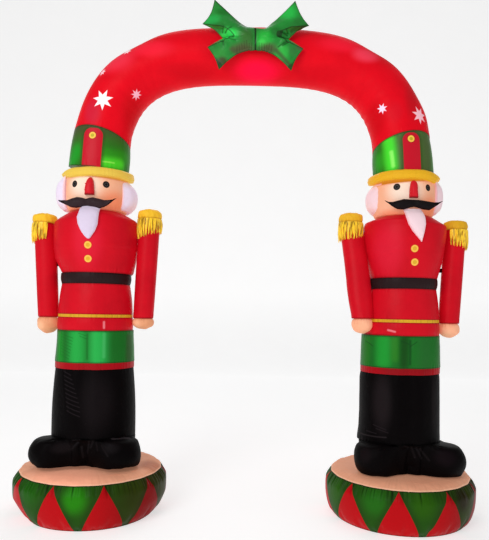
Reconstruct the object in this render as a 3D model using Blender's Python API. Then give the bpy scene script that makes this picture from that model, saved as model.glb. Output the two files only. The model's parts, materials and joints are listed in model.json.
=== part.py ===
"""Inflatable archway: one air-filled tube carried by two toy-soldier figures on drums.

Metres, +Z up, front towards -Y, origin on the floor midway between the figures.
Every fabric panel group that a maker sews and fills is one solid in its true filled shape.
The figures mirror each other, so a figure is described by how far a point lies "out" from
its own axis, away from the archway.
"""

import math
from collections import namedtuple

import bmesh
import bpy
from mathutils import Vector

# ---------------------------------------------------------------- driving sizes
SEAM_GAP = 0.0003          # parting between two panels that are sewn edge to edge
SKIN_GAP = 0.0008          # parting between two filled walls that lean on each other

FIGURE_X = 0.940           # axis of each figure from the middle of the archway
ARCH_RISE_START = 1.820    # height where the tube's centre line begins to bend
ARCH_CROWN_Z = 2.787       # centre line at the crown
ARCH_SQUARENESS = 3.3      # exponent of the centre line's rounded-square curve
ARCH_CROWN_RADIUS = 0.1625
ARCH_SPANS = 30
ARCH_FINE_STEPS = 4000     # steps in which the centre line is measured
LEAN_LENGTH = 0.32         # tube length over which the slanted hat seam becomes square

FIGURE_SEGMENTS = 28       # points round a figure; a multiple of four
DRUM_SEGMENTS = 40
SHOE_SEGMENTS = 36
SMALL_SEGMENTS = 12
CAP_SEGMENTS = 16
SHARP_ANGLE = math.radians(48.0)

DRUM_FACE_Z = 0.280        # flat middle of the drum head, pressed down by the shoes
ANKLE_Z = 0.455
CREASE_DEPTH = 0.014       # front and back seam that draws the two legs in

SHOE_CENTRE_Y = -0.050     # point from which the shoes' outline is measured
TOE_OUT = {"outer": 0.215, "inner": 0.175}
TOE_FORWARD = 0.140
TOE_RADIUS = 0.138
HEEL_RADIUS = 0.236
TOE_CLEFT = 0.24           # share of the outline lost at the cleft between the toes
CLEFT_HALF_ANGLE = 26.0    # degrees to each side of the front over which the cleft fades

ARM_RADIUS = 0.0645
ARM_LEAN = 0.030           # how much nearer to the axis the cuff hangs than the shoulder
SWING_START = 0.80         # share of the arm's height, under the fringe, where it starts to swing
ARM_SWING = {              # how far the cuff hangs towards the front, as an angle round the axis
    ("left", "outer"): 0.0, ("left", "inner"): 0.0,
    ("right", "outer"): 0.0, ("right", "inner"): math.radians(20.0),
}
CUFF_Z = 1.172
SHOULDER_Z = {"outer": 1.745, "inner": 1.780}
HAND_LENGTH = {"outer": 0.104, "inner": 0.086}
CUFF_GATHER = 0.003

CAP_RADIUS = 0.0695
FRINGE_STRANDS = 18
FRINGE_HALF_ARC = math.radians(140.0)
FRINGE_LENGTH = 0.112
FRINGE_UNEVEN = 0.12       # strands differ from that length by up to this share
FRINGE_RHYTHM = 2.3        # radians from one strand to the next
STRAND_SHARE = 0.60        # part of the pitch that a strand takes
STRIP_INNER = 0.0672
STRIP_THICKNESS = 0.0040
STRIP_HEIGHT = 0.010
STRAND_STEPS = (           # share of the length, how far it splays out, and its taper
    (0.55, 0.0035, 0.92),
    (0.45, 0.0010, 0.55),
)

TIE_Z = 1.495
TIE_HEIGHT = 0.025
TIE_WIDTH = 0.012

MOUSTACHE_Z = 1.853
MOUSTACHE_BACK = 0.0225    # depth of padding behind the moustache's own plane
FACE_TURN = 0.007          # nose and moustache sit this far out from the axis
BEARD_SWAY = {"left": -0.020, "right": 0.035}      # how far out the beard's tip lies
BOW_X = 0.013              # the bow sits slightly to the right of the crown

Side = namedtuple("Side", "name sign")
SIDES = (Side("left", -1.0), Side("right", 1.0))

# A section round the figure. rise_out and rise_front slant it: metres up per metre out or
# towards the front. inward moves its centre towards the archway.
Ring = namedtuple("Ring", "z reach depth inward rise_out rise_front")


def level_ring(z, reach, depth=None):
    """Section that lies flat and is centred on the figure's axis."""
    return Ring(z, reach, reach if depth is None else depth, 0.0, 0.0, 0.0)


# Seams between the stacked panels, from the ankle up.
SEAMS = {
    "ankle": Ring(ANKLE_Z, 0.2500, 0.2500, 0.0, 0.0, 0.070),
    "boot": level_ring(0.870, 0.232),
    "cuff": level_ring(0.907, 0.231),
    "coat": level_ring(1.096, 0.224),
    "trim_low": level_ring(1.174, 0.222),
    "trim_high": level_ring(1.191, 0.222),
    "belt_low": level_ring(1.372, 0.203),
    "belt_high": level_ring(1.436, 0.208),
    "collar": level_ring(1.810, 0.165),
    "brim_low": Ring(2.019, 0.183, 0.183, 0.001, 0.090, -0.100),
    "brim_high": Ring(2.075, 0.179, 0.179, 0.003, 0.090, -0.100),
    "hat": Ring(2.250, 0.169, 0.169, 0.022, 0.190, 0.300),
}

# Plain panels between two seams: bulge is how far the cloth swells between its seams, and
# crease says that the seam up the front and back of the legs crosses it.
Panel = namedtuple("Panel", "name low high bulge rows crease colour")
PANELS = (
    Panel("boot_shaft", "ankle", "boot", 0.006, 4, True, "black"),
    Panel("boot_cuff", "boot", "cuff", 0.0, 1, True, "red"),
    Panel("trousers", "cuff", "coat", 0.008, 3, True, "green"),
    Panel("coat_hem", "coat", "trim_low", 0.003, 2, False, "red"),
    Panel("coat_trim", "trim_low", "trim_high", 0.0, 1, False, "yellow"),
    Panel("coat_skirt", "trim_high", "belt_low", 0.004, 3, False, "red"),
    Panel("belt", "belt_low", "belt_high", 0.005, 2, False, "black"),
    Panel("hat_band", "brim_high", "hat", 0.004, 3, False, "green"),
)

DRUM_WALL_ROWS = (         # height and radius of the drum's side
    (0.000, 0.395), (0.022, 0.414), (0.080, 0.438), (0.164, 0.448), (0.220, 0.440), (0.2537, 0.414),
)
DRUM_HEAD_ROWS = (         # height and radius of its padded head
    (0.254, 0.414), (0.266, 0.402), (0.276, 0.368), (DRUM_FACE_Z, 0.335),
)
PUCKER_DEPTH = {0.2537: 0.004, 0.220: 0.002, 0.022: 0.002, 0.254: 0.004, 0.266: 0.003}

# Rows of the shoes: share of the height from sole to ankle, how far the toes reach, and
# how deep the cleft between them is.
ShoeRow = namedtuple("ShoeRow", "rise toe cleft")
SHOE_ROWS = (
    ShoeRow(0.00, 0.72, 1.00), ShoeRow(0.10, 0.90, 1.00), ShoeRow(0.36, 1.00, 0.90),
    ShoeRow(0.62, 0.96, 0.70), ShoeRow(0.83, 0.80, 0.45), ShoeRow(0.95, 0.55, 0.20),
    ShoeRow(1.00, 0.00, 0.00),
)

CHEST_RINGS = (
    SEAMS["belt_high"],
    Ring(1.500, 0.225, 0.222, 0.0, -0.02, 0.0),
    Ring(1.580, 0.240, 0.235, 0.0, -0.05, 0.0),
    Ring(1.655, 0.251, 0.241, 0.0, -0.09, 0.0),
    Ring(1.720, 0.254, 0.240, 0.0, -0.11, 0.0),
    Ring(1.764, 0.246, 0.231, 0.0, -0.11, 0.0),
    Ring(1.792, 0.222, 0.212, 0.0, -0.08, 0.0),
    Ring(1.807, 0.192, 0.188, 0.0, -0.02, 0.0),
    SEAMS["collar"],
)

# Rows of the face: share of the height from collar to brim, and radius.
FACE_ROWS = ((0.00, 0.165), (0.05, 0.174), (0.22, 0.185), (0.50, 0.189), (0.78, 0.188), (1.00, 0.183))
HAIR_FIRST_ROW = 1
HAIR_START = 5             # face segments from the nose line to the hair's front seam
HAIR_THICKNESS = 0.056
HAIR_CROWN = (0.42, 0.84, 1.00, 0.80, 0.12)     # thickness share on each face row
HAIR_EDGE = (0.15, 0.62, 0.92)                  # thickness share from the front seam back

BRIM_ROWS = ((0.00, 0.200), (0.14, 0.211), (0.50, 0.2165), (0.86, 0.211), (1.00, 0.200))

# Arm rows: share of the height from cuff to shoulder, and radius. The last four, from where
# the swing starts, lie against the coat.
ARM_ROWS = ((0.00, 0.0590), (0.04, 0.0615), (0.35, 0.0635), (SWING_START, ARM_RADIUS), (0.93, 0.0635),
            (0.985, 0.0585), (1.00, 0.0500))
SHOULDER_ROWS = ARM_ROWS[3:]
HAND_ROWS = ((0.00, 0.050), (0.14, 0.058), (0.42, 0.0635), (0.70, 0.056), (0.90, 0.036), (1.00, 0.014))
CAP_ROWS = ((0.000, CAP_RADIUS), (0.014, 0.0715), (0.038, 0.0695), (0.054, 0.0600), (0.061, 0.0400))

# Moustache sections along one half: distance from the middle, top and bottom against its
# height, and half thickness.
Tuft = namedtuple("Tuft", "out top bottom half")
TUFTS = (
    Tuft(0.000, 0.026, -0.024, 0.017),
    Tuft(0.028, 0.030, -0.027, 0.0215),
    Tuft(0.055, 0.031, -0.031, 0.0225),
    Tuft(0.083, 0.026, -0.034, 0.021),
    Tuft(0.112, 0.014, -0.027, 0.015),
    Tuft(0.141, 0.009, -0.010, 0.009),
    Tuft(0.168, 0.016, 0.009, 0.003),
)
OVAL_POINTS = 8            # points round a moustache section

# Beard sections from the chin down: height, half width, where its back lies and thickness.
Lock = namedtuple("Lock", "z half_width back thickness")
LOCKS = (
    Lock(1.8225, 0.0460, 0.1860, 0.022),
    Lock(1.8110, 0.0530, 0.1920, 0.028),
    Lock(1.7900, 0.0580, 0.2160, 0.030),
    Lock(1.7600, 0.0600, 0.2335, 0.030),
    Lock(1.7180, 0.0560, 0.2412, 0.029),
    Lock(1.6750, 0.0370, 0.2425, 0.023),
    Lock(1.6450, 0.0180, 0.2423, 0.016),
    Lock(1.6270, 0.0040, 0.2418, 0.008),
)
# Outline of a beard section: share of its half width, and share of its thickness.
BEARD_SECTION = (
    (-1.0, 0.25), (-0.72, 0.80), (0.0, 1.0), (0.72, 0.80), (1.0, 0.25), (0.72, 0.0), (-0.72, 0.0),
)
SWAY_CURVE = 1.5           # the beard bends more towards its tip

# Nose sections from its flat underside up: height, half width and how far it stands out.
NoseRow = namedtuple("NoseRow", "z half_width front")
NOSE_ROWS = (
    NoseRow(1.887, 0.0275, 0.222),
    NoseRow(1.899, 0.0290, 0.227),
    NoseRow(1.930, 0.0285, 0.226),
    NoseRow(1.960, 0.0250, 0.219),
    NoseRow(1.980, 0.0180, 0.209),
    NoseRow(1.989, 0.0090, 0.199),
)
# Outline of a nose section: share of its half width, and share of how far it stands out.
NOSE_SECTION = (
    (-1.0, 0.0), (-0.96, 0.50), (-0.62, 0.88), (0.0, 1.0), (0.62, 0.88), (0.96, 0.50), (1.0, 0.0),
)

# Bow outline of the right half, from the middle: x and z of its corners.
Corner = namedtuple("Corner", "x z")
BOW_TOP = (Corner(0.000, 2.884), Corner(0.055, 2.884), Corner(0.100, 2.913), Corner(0.160, 2.966),
           Corner(0.228, 3.027))
BOW_END = (Corner(0.228, 3.027), Corner(0.264, 2.955), Corner(0.312, 2.896), Corner(0.240, 2.862),
           Corner(0.191, 2.815), Corner(0.236, 2.790), Corner(0.281, 2.762), Corner(0.238, 2.702),
           Corner(0.211, 2.631))
BOW_BOTTOM = (Corner(0.000, 2.746), Corner(0.050, 2.744), Corner(0.110, 2.722), Corner(0.165, 2.679),
              Corner(0.211, 2.631))
BOW_COLUMNS = 9
BOW_PLANE = 0.190          # seam plane of the bow in front of the arch's plane
BOW_FRONT_SWELL = 0.058
BOW_BACK_SWELL = 0.032
BOW_SEAT = ARCH_CROWN_RADIUS + 0.0012      # the lobes flatten against the tube's front here
BOW_KNOT = 0.45            # share of the swell left at the pinched middle seam
BOW_KNOT_REACH = 0.30      # share of the half width over which the pinch fades
BOW_EDGE_REACH = 0.31      # share of the half width over which the swell dies out at the ends
BOW_NOTCH = 0.55           # share of the swell lost where the end's notch draws the cloth in
BOW_NOTCH_REACH = 0.16     # share of the height over which that loss fades

# Colour of each cloth as (red, green, blue), with its roughness.
Cloth = namedtuple("Cloth", "red green blue roughness")
CLOTHS = {
    "red": Cloth(0.58, 0.010, 0.016, 0.42),
    "green": Cloth(0.012, 0.21, 0.022, 0.34),
    "yellow": Cloth(0.80, 0.50, 0.035, 0.50),
    "black": Cloth(0.008, 0.006, 0.007, 0.38),
    "skin": Cloth(0.88, 0.45, 0.28, 0.52),
    "white": Cloth(0.82, 0.72, 0.80, 0.55),
    "tan": Cloth(0.68, 0.32, 0.20, 0.58),
}


# ---------------------------------------------------------------- helpers
def clear_scene():
    """Remove every object so that the script starts from an empty scene."""
    for item in list(bpy.data.objects):
        bpy.data.objects.remove(item, do_unlink=True)


def cloth_material(name):
    """Principled material of one cloth, made once and shared."""
    found = bpy.data.materials.get(name)
    if found:
        return found
    cloth = CLOTHS[name]
    material = bpy.data.materials.new(name)
    material.use_nodes = True
    shader = material.node_tree.nodes["Principled BSDF"]
    shader.inputs["Base Color"].default_value = (cloth.red, cloth.green, cloth.blue, 1.0)
    shader.inputs["Roughness"].default_value = cloth.roughness
    shader.inputs["Metallic"].default_value = 0.0
    return material


def add_body(name, bm, colour, parent=None):
    """Turn a closed bmesh into a named object with outward faces and one material."""
    bmesh.ops.recalc_face_normals(bm, faces=bm.faces)
    mesh = bpy.data.meshes.new(name)
    bm.to_mesh(mesh)
    bm.free()
    mesh.shade_smooth()
    mesh.set_sharp_from_angle(angle=SHARP_ANGLE)
    mesh.materials.append(cloth_material(colour))
    body = bpy.data.objects.new(name, mesh)
    bpy.context.scene.collection.objects.link(body)
    body.parent = parent
    return body


def skin_loops(bm, loops):
    """Join equal closed loops of points with quads and close both ends; returns the quads."""
    rings = [[bm.verts.new(point) for point in loop] for loop in loops]
    strips = []
    for near, far in zip(rings, rings[1:]):
        count = len(near)
        after = [(k + 1) % count for k in range(count)]
        strips.append([bm.faces.new((near[k], near[n], far[n], far[k])) for k, n in enumerate(after)])
    bm.faces.new(list(reversed(rings[0])))
    bm.faces.new(rings[-1])
    return strips


def loft(name, loops, colour, parent=None):
    """Closed body through a row of loops."""
    bm = bmesh.new()
    skin_loops(bm, loops)
    return add_body(name, bm, colour, parent)


def mix(low, high, share):
    """Number or ring part of the way from low to high."""
    if isinstance(low, Ring):
        return Ring(*(mix(a, b, share) for a, b in zip(low, high)))
    return low + (high - low) * share


def lifted(ring, step):
    """The same section a little higher or lower."""
    return ring._replace(z=ring.z + step)


def figure_point(side, out, y, z):
    """Point of a figure in its own frame, from its distance out."""
    return Vector((side.sign * out, y, z))


def ring_points(side, ring, count=FIGURE_SEGMENTS, dip=None):
    """Points round a section, from the outer side over the front; dip draws a point in."""
    points = []
    for k in range(count):
        angle = math.tau * k / count
        draw = dip(k, count) if dip else 0.0
        out = (ring.reach - draw) * math.cos(angle)
        front = (ring.depth - draw) * math.sin(angle)
        z = ring.z + ring.rise_out * out + ring.rise_front * front
        points.append(figure_point(side, out - ring.inward, -front, z))
    return points


def leg_crease(k, count):
    """Depth drawn in by the seam at the front and the back of the legs."""
    return CREASE_DEPTH if k in (count // 4, 3 * count // 4) else 0.0


def read_across(table, height):
    """Value at a height in a table of (height, value) rows that climb."""
    for (low, a), (high, b) in zip(table, table[1:]):
        if low <= height <= high:
            return mix(a, b, (height - low) / (high - low))
    raise ValueError("height lies outside the table")


# ---------------------------------------------------------------- figure, from the floor up
def build_drum(side, parent):
    """Drum: swollen side wall with gathered seams, and a padded head that is its own panel."""
    def rows(table):
        for z, radius in table:
            gather = PUCKER_DEPTH.get(z, 0.0)
            yield ring_points(side, level_ring(z, radius), DRUM_SEGMENTS, lambda k, _: gather * (k % 2))
    loft(f"{side.name}_drum_wall", list(rows(DRUM_WALL_ROWS)), "red", parent)
    loft(f"{side.name}_drum_head", list(rows(DRUM_HEAD_ROWS)), "tan", parent)


def toe_reach(angle):
    """Distance from the shoes' centre to the toe lobe in one direction, or nothing."""
    lobe_out = TOE_OUT["outer"] if math.cos(angle) > 0.0 else -TOE_OUT["inner"]
    lobe_front = TOE_FORWARD + SHOE_CENTRE_Y
    along = lobe_out * math.cos(angle) + lobe_front * math.sin(angle)
    root = along ** 2 - (lobe_out ** 2 + lobe_front ** 2 - TOE_RADIUS ** 2)
    return along + math.sqrt(root) if root > 0.0 and along > 0.0 else 0.0


def leg_reach(angle, radius):
    """Distance from the shoes' centre to the leg's round outline in one direction."""
    shift = SHOE_CENTRE_Y * math.sin(angle)
    return shift + math.sqrt(shift ** 2 + radius ** 2 - SHOE_CENTRE_Y ** 2)


def build_shoes(side, parent):
    """Pair of puffed shoes under the leg, splayed, with a cleft between the toes."""
    loops = []
    sole = DRUM_FACE_Z + SEAM_GAP
    ankle = ANKLE_Z - SEAM_GAP
    for row in SHOE_ROWS:
        leg_radius = mix(HEEL_RADIUS, SEAMS["ankle"].reach, row.rise)
        loop = []
        for k in range(SHOE_SEGMENTS):
            angle = math.tau * k / SHOE_SEGMENTS
            leg = leg_reach(angle, leg_radius)
            reach = max(leg, mix(leg, toe_reach(angle), row.toe))
            off_cleft = abs(math.degrees(angle) - 90.0)
            reach *= 1.0 - TOE_CLEFT * row.cleft * max(0.0, 1.0 - off_cleft / CLEFT_HALF_ANGLE)
            front = reach * math.sin(angle) - SHOE_CENTRE_Y
            top = ankle + SEAMS["ankle"].rise_front * front
            loop.append(figure_point(side, reach * math.cos(angle), -front, mix(sole, top, row.rise)))
        loops.append(loop)
    loft(f"{side.name}_shoes", loops, "black", parent)


def build_panels(side, parent):
    """The plain panels that are stacked between two seams."""
    for panel in PANELS:
        low = lifted(SEAMS[panel.low], SEAM_GAP / 2)
        high = lifted(SEAMS[panel.high], -SEAM_GAP / 2)
        loops = []
        for row in range(panel.rows + 1):
            share = row / panel.rows
            ring = mix(low, high, share)
            swell = panel.bulge * math.sin(math.pi * share)
            ring = ring._replace(reach=ring.reach + swell, depth=ring.depth + swell)
            loops.append(ring_points(side, ring, dip=leg_crease if panel.crease else None))
        loft(f"{side.name}_{panel.name}", loops, panel.colour, parent)


def build_chest(side, parent):
    """Coat above the belt: widens to the shoulders and rounds over to the collar."""
    waist, *middle, collar = CHEST_RINGS
    rings = [lifted(waist, SEAM_GAP / 2), *middle, lifted(collar, -SEAM_GAP / 2)]
    loft(f"{side.name}_coat_chest", [ring_points(side, ring) for ring in rings], "red", parent)


def chest_profile(hand):
    """(height, distance out) of the coat on its outer or inner side."""
    sign = 1.0 if hand == "outer" else -1.0
    return [(ring.z + sign * ring.rise_out * ring.reach, ring.reach) for ring in CHEST_RINGS]


def arm_height(hand, share):
    """Height at a share of the arm's length, from cuff to shoulder."""
    return mix(CUFF_Z + SEAM_GAP / 2, SHOULDER_Z[hand] - SEAM_GAP, share)


def arm_centre(hand, share):
    """Distance of the arm's middle from the axis, so that the leaning sleeve just clears the coat."""
    coat = chest_profile(hand)
    low, high = arm_height(hand, 0.0), arm_height(hand, 1.0)
    levels = [z for z, _ in coat if z < high] + [arm_height(hand, part) for part, _ in SHOULDER_ROWS]
    needs = []
    for z in levels:
        part = (z - low) / (high - low)
        needs.append(read_across(coat, z) + read_across(ARM_ROWS, part) + ARM_LEAN * (1.0 - part))
    return max(needs) + SKIN_GAP - ARM_LEAN * (1.0 - share)


def arm_profile(hand):
    """(height, distance out) of the arm's side that faces the coat."""
    return [(arm_height(hand, share), arm_centre(hand, share) - radius) for share, radius in ARM_ROWS]


def round_loop(side, spot, z, radius, count=SMALL_SEGMENTS, dip=0.0):
    """Level circle of points about a spot (out, front); dip draws every other point in."""
    out, front = spot
    loop = []
    for k in range(count):
        angle = math.tau * k / count
        reach = radius - dip * (k % 2)
        across, forward = reach * math.cos(angle), reach * math.sin(angle)
        loop.append(figure_point(side, out + across, -front - forward, z))
    return loop


def arm_spot(side, hand, share):
    """Distance out and to the front of the arm's middle, swung round the figure's axis."""
    swing = ARM_SWING[side.name, hand] * max(0.0, 1.0 - share / SWING_START)
    sign = 1.0 if hand == "outer" else -1.0
    reach = arm_centre(hand, share)
    return sign * reach * math.cos(swing), reach * math.sin(swing)


def build_arm(side, hand, parent):
    """Sleeve that hangs against the coat, and the gathered mitten below its cuff."""
    sleeve = [round_loop(side, arm_spot(side, hand, share), arm_height(hand, share), radius)
              for share, radius in ARM_ROWS]
    loft(f"{side.name}_{hand}_arm", sleeve, "red", parent)
    mitten = []
    for share, radius in HAND_ROWS:
        z = CUFF_Z - SEAM_GAP / 2 - share * HAND_LENGTH[hand]
        gather = CUFF_GATHER if share == 0.0 else 0.0
        mitten.append(round_loop(side, arm_spot(side, hand, 0.0), z, radius, dip=gather))
    loft(f"{side.name}_{hand}_hand", mitten, "skin", parent)


def build_cap(side, hand, parent):
    """Padded epaulette cap on the shoulder."""
    loops = [round_loop(side, arm_spot(side, hand, 1.0), SHOULDER_Z[hand] + rise, radius, CAP_SEGMENTS)
             for rise, radius in CAP_ROWS]
    loft(f"{side.name}_{hand}_epaulette_cap", loops, "yellow", parent)


def build_fringe(side, hand, parent):
    """Epaulette fringe: a narrow curved strip under the cap's rim, drawn out into strands."""
    sign = 1.0 if hand == "outer" else -1.0
    middle = sign * arm_centre(hand, 1.0)
    top = SHOULDER_Z[hand] - SEAM_GAP
    outside = STRIP_INNER + STRIP_THICKNESS
    pitch = 2.0 * FRINGE_HALF_ARC / (FRINGE_STRANDS - 1 + STRAND_SHARE)
    strip = []
    for n in range(FRINGE_STRANDS):
        for edge in (0.0, STRAND_SHARE):
            angle = -FRINGE_HALF_ARC + pitch * (n + edge)
            spot = (sign * math.cos(angle), math.sin(angle))
            strip.append([
                figure_point(side, middle + spot[0] * radius, spot[1] * radius, top - drop)
                for radius, drop in ((STRIP_INNER, 0.0), (outside, 0.0), (outside, STRIP_HEIGHT),
                                     (STRIP_INNER, STRIP_HEIGHT))
            ])
    bm = bmesh.new()
    quads = skin_loops(bm, strip)
    axis = figure_point(side, middle, 0.0, 0.0)
    for n in range(FRINGE_STRANDS):
        root = quads[2 * n][2]
        draw_strand(bm, root, axis, FRINGE_LENGTH * (1.0 + FRINGE_UNEVEN * math.sin(FRINGE_RHYTHM * n)))
    add_body(f"{side.name}_{hand}_epaulette_fringe", bm, "yellow", parent)


def draw_strand(bm, root, axis, length):
    """Extrude one strand down from a face of the strip, splaying and tapering to its tip."""
    for share, splay, size in STRAND_STEPS:
        drawn = bmesh.ops.extrude_discrete_faces(bm, faces=[root])
        root = drawn["faces"][0]
        centre = root.calc_center_median()
        outward = Vector((centre.x - axis.x, centre.y - axis.y, 0.0)).normalized()
        step = outward * splay + Vector((0.0, 0.0, -length * share))
        for vert in root.verts:
            vert.co = centre + (vert.co - centre) * size + step


def build_tie(side, parent):
    """Short black link that holds the outer sleeve to the coat above the belt."""
    low, high = TIE_Z - TIE_HEIGHT / 2, TIE_Z + TIE_HEIGHT / 2
    half = TIE_WIDTH / 2
    bends = [z for z, _ in chest_profile("outer") if low < z < high]
    loops = []
    for z in (low, *bends, high):
        near = read_across(chest_profile("outer"), z) + SEAM_GAP
        far = read_across(arm_profile("outer"), z) - SEAM_GAP
        corners = ((near, -half), (far, -half), (far, half), (near, half))
        loops.append([figure_point(side, out, y, z) for out, y in corners])
    loft(f"{side.name}_arm_tie", loops, "black", parent)


def face_ring(row):
    """Section of the face at one of its rows."""
    share, radius = FACE_ROWS[row]
    low = lifted(SEAMS["collar"], SEAM_GAP / 2)
    high = lifted(SEAMS["brim_low"], -SEAM_GAP / 2)
    return mix(low, high, share)._replace(reach=radius, depth=radius)


def face_profile():
    """(height, distance to the front) of the face up its middle."""
    rings = [face_ring(row) for row in range(len(FACE_ROWS))]
    return [(ring.z + ring.rise_front * ring.depth, ring.depth) for ring in rings]


def build_head(side, parent):
    """Face, wrap-round hair and hat brim."""
    face = [ring_points(side, face_ring(row)) for row in range(len(FACE_ROWS))]
    loft(f"{side.name}_face", face, "skin", parent)
    build_hair(side, parent)
    low = lifted(SEAMS["brim_low"], SEAM_GAP / 2)
    high = lifted(SEAMS["brim_high"], -SEAM_GAP / 2)
    brim = [ring_points(side, mix(low, high, share)._replace(reach=radius, depth=radius))
            for share, radius in BRIM_ROWS]
    loft(f"{side.name}_hat_brim", brim, "yellow", parent)


def build_hair(side, parent):
    """Padded hair from one temple round the back to the other, lying on the face's panels."""
    rows = range(HAIR_FIRST_ROW, len(FACE_ROWS))
    inner = [ring_points(side, face_ring(row)._replace(reach=FACE_ROWS[row][1] + SKIN_GAP,
                                                       depth=FACE_ROWS[row][1] + SKIN_GAP)) for row in rows]
    outer = []
    for row, crown in zip(rows, HAIR_CROWN):
        radius = FACE_ROWS[row][1] + SKIN_GAP
        thick = HAIR_THICKNESS * crown
        outer.append(ring_points(side, face_ring(row)._replace(reach=radius + thick, depth=radius + thick)))
    nose_line = FIGURE_SEGMENTS // 4
    steps = FIGURE_SEGMENTS - 2 * HAIR_START
    loops = []
    for step in range(steps + 1):
        k = (nose_line + HAIR_START + step) % FIGURE_SEGMENTS
        from_edge = min(step, steps - step)
        share = HAIR_EDGE[from_edge] if from_edge < len(HAIR_EDGE) else 1.0
        wall = [loop[k] for loop in inner]
        puff = [a[k].lerp(b[k], share) for a, b in zip(inner, outer)]
        loops.append(wall + list(reversed(puff)))
    loft(f"{side.name}_hair", loops, "white", parent)


def oval_section(side, out, middle, half_height, half_front, half_back, y):
    """Upright padded section across a tuft, flatter behind than in front."""
    points = []
    for k in range(OVAL_POINTS):
        angle = math.tau * k / OVAL_POINTS
        swell = half_front if math.cos(angle) > 0 else half_back
        z = middle + half_height * math.sin(angle)
        points.append(figure_point(side, out, y - swell * math.cos(angle), z))
    return points


def build_moustache(side, parent):
    """Padded moustache that is sewn on at its middle, with free curled tips."""
    y = -(read_across(face_profile(), MOUSTACHE_Z) + SKIN_GAP + MOUSTACHE_BACK)
    loops = []
    for sign, tufts in ((-1.0, reversed(TUFTS[1:])), (1.0, TUFTS)):
        for tuft in tufts:
            middle = MOUSTACHE_Z + (tuft.top + tuft.bottom) / 2
            half = (tuft.top - tuft.bottom) / 2
            back = MOUSTACHE_BACK if tuft.out == 0.0 else tuft.half
            loops.append(oval_section(side, FACE_TURN + sign * tuft.out, middle, half, tuft.half, back, y))
    loft(f"{side.name}_moustache", loops, "black", parent)


def build_beard(side, parent):
    """Padded pointed beard that hangs from the chin over the collar."""
    loops = []
    fall = LOCKS[0].z - LOCKS[-1].z
    for lock in LOCKS:
        middle = FACE_TURN + BEARD_SWAY[side.name] * ((LOCKS[0].z - lock.z) / fall) ** SWAY_CURVE
        section = []
        for across, swell in BEARD_SECTION:
            front = lock.back + swell * lock.thickness
            section.append(figure_point(side, middle + across * lock.half_width, -front, lock.z))
        loops.append(section)
    loft(f"{side.name}_beard", loops, "white", parent)


def build_nose(side, parent):
    """Padded nose with a rounded top and a flat underside."""
    back = max(radius for _, radius in FACE_ROWS) + SKIN_GAP
    loops = []
    for row in NOSE_ROWS:
        loops.append([
            figure_point(side, FACE_TURN + across * row.half_width, -mix(back, row.front, swell), row.z)
            for across, swell in NOSE_SECTION
        ])
    loft(f"{side.name}_nose", loops, "red", parent)


def build_figure(side):
    """One complete figure under an empty on its axis."""
    axis = bpy.data.objects.new(f"{side.name}_figure", None)
    axis.location = (side.sign * FIGURE_X, 0.0, 0.0)
    bpy.context.scene.collection.objects.link(axis)
    build_drum(side, axis)
    build_shoes(side, axis)
    build_panels(side, axis)
    build_chest(side, axis)
    for hand in ("outer", "inner"):
        build_arm(side, hand, axis)
        build_cap(side, hand, axis)
        build_fringe(side, hand, axis)
    build_tie(side, axis)
    build_head(side, axis)
    build_nose(side, axis)
    build_moustache(side, axis)
    build_beard(side, axis)


# ---------------------------------------------------------------- arch and bow
def centre_line(turn):
    """Point of the tube's centre line; turn runs from 0 at the left foot to pi at the right."""
    power = 2.0 / ARCH_SQUARENESS
    across = -math.copysign(abs(math.cos(turn)) ** power, math.cos(turn))
    return Vector((FIGURE_X * across, 0.0, mix(ARCH_RISE_START, ARCH_CROWN_Z, math.sin(turn) ** power)))


def even_stations():
    """Points spaced evenly along the centre line from hat seam to hat seam, and its length."""
    hat_z = SEAMS["hat"].z
    fine = [centre_line(math.pi * k / ARCH_FINE_STEPS) for k in range(1, ARCH_FINE_STEPS)]
    fine = [point for point in fine if point.z >= hat_z]
    run = [0.0]
    for a, b in zip(fine, fine[1:]):
        run.append(run[-1] + (b - a).length)
    stations = []
    index = 0
    for span in range(ARCH_SPANS + 1):
        target = run[-1] * span / ARCH_SPANS
        while index < len(run) - 2 and run[index + 1] < target:
            index += 1
        stations.append((target, fine[index], (fine[index + 1] - fine[index]).normalized()))
    return stations, run[-1]


def build_arch():
    """Red tube over both figures, sewn to the slanted top of each hat."""
    stations, length = even_stations()
    hat = SEAMS["hat"]
    loops = []
    for travelled, point, tangent in stations:
        from_end = min(travelled, length - travelled)
        radius = mix(hat.reach, ARCH_CROWN_RADIUS, from_end / (length / 2))
        slant = hat.rise_front * max(0.0, 1.0 - from_end / LEAN_LENGTH) ** 2
        if travelled > length / 2:
            slant = -slant
        outward = Vector((-tangent.z, 0.0, tangent.x))
        loop = []
        for k in range(FIGURE_SEGMENTS):
            angle = math.tau * k / FIGURE_SEGMENTS
            front = radius * math.sin(angle)
            level = point + outward * radius * math.cos(angle) + Vector((0.0, -front, 0.0))
            loop.append(level + tangent * slant * front)
        loops.append(loop)
    for side, end in ((SIDES[0], 0), (SIDES[1], -1)):
        seam = ring_points(side, lifted(hat, SEAM_GAP / 2))
        loops[end] = [point + Vector((side.sign * FIGURE_X, 0.0, 0.0)) for point in seam]
    loft("arch_tube", loops, "red")


def along_corners(corners, share):
    """Point at a share of a row of corners, counted corner by corner."""
    place = share * (len(corners) - 1)
    index = min(int(place), len(corners) - 2)
    return Corner(*(mix(a, b, place - index) for a, b in zip(corners[index], corners[index + 1])))


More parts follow.
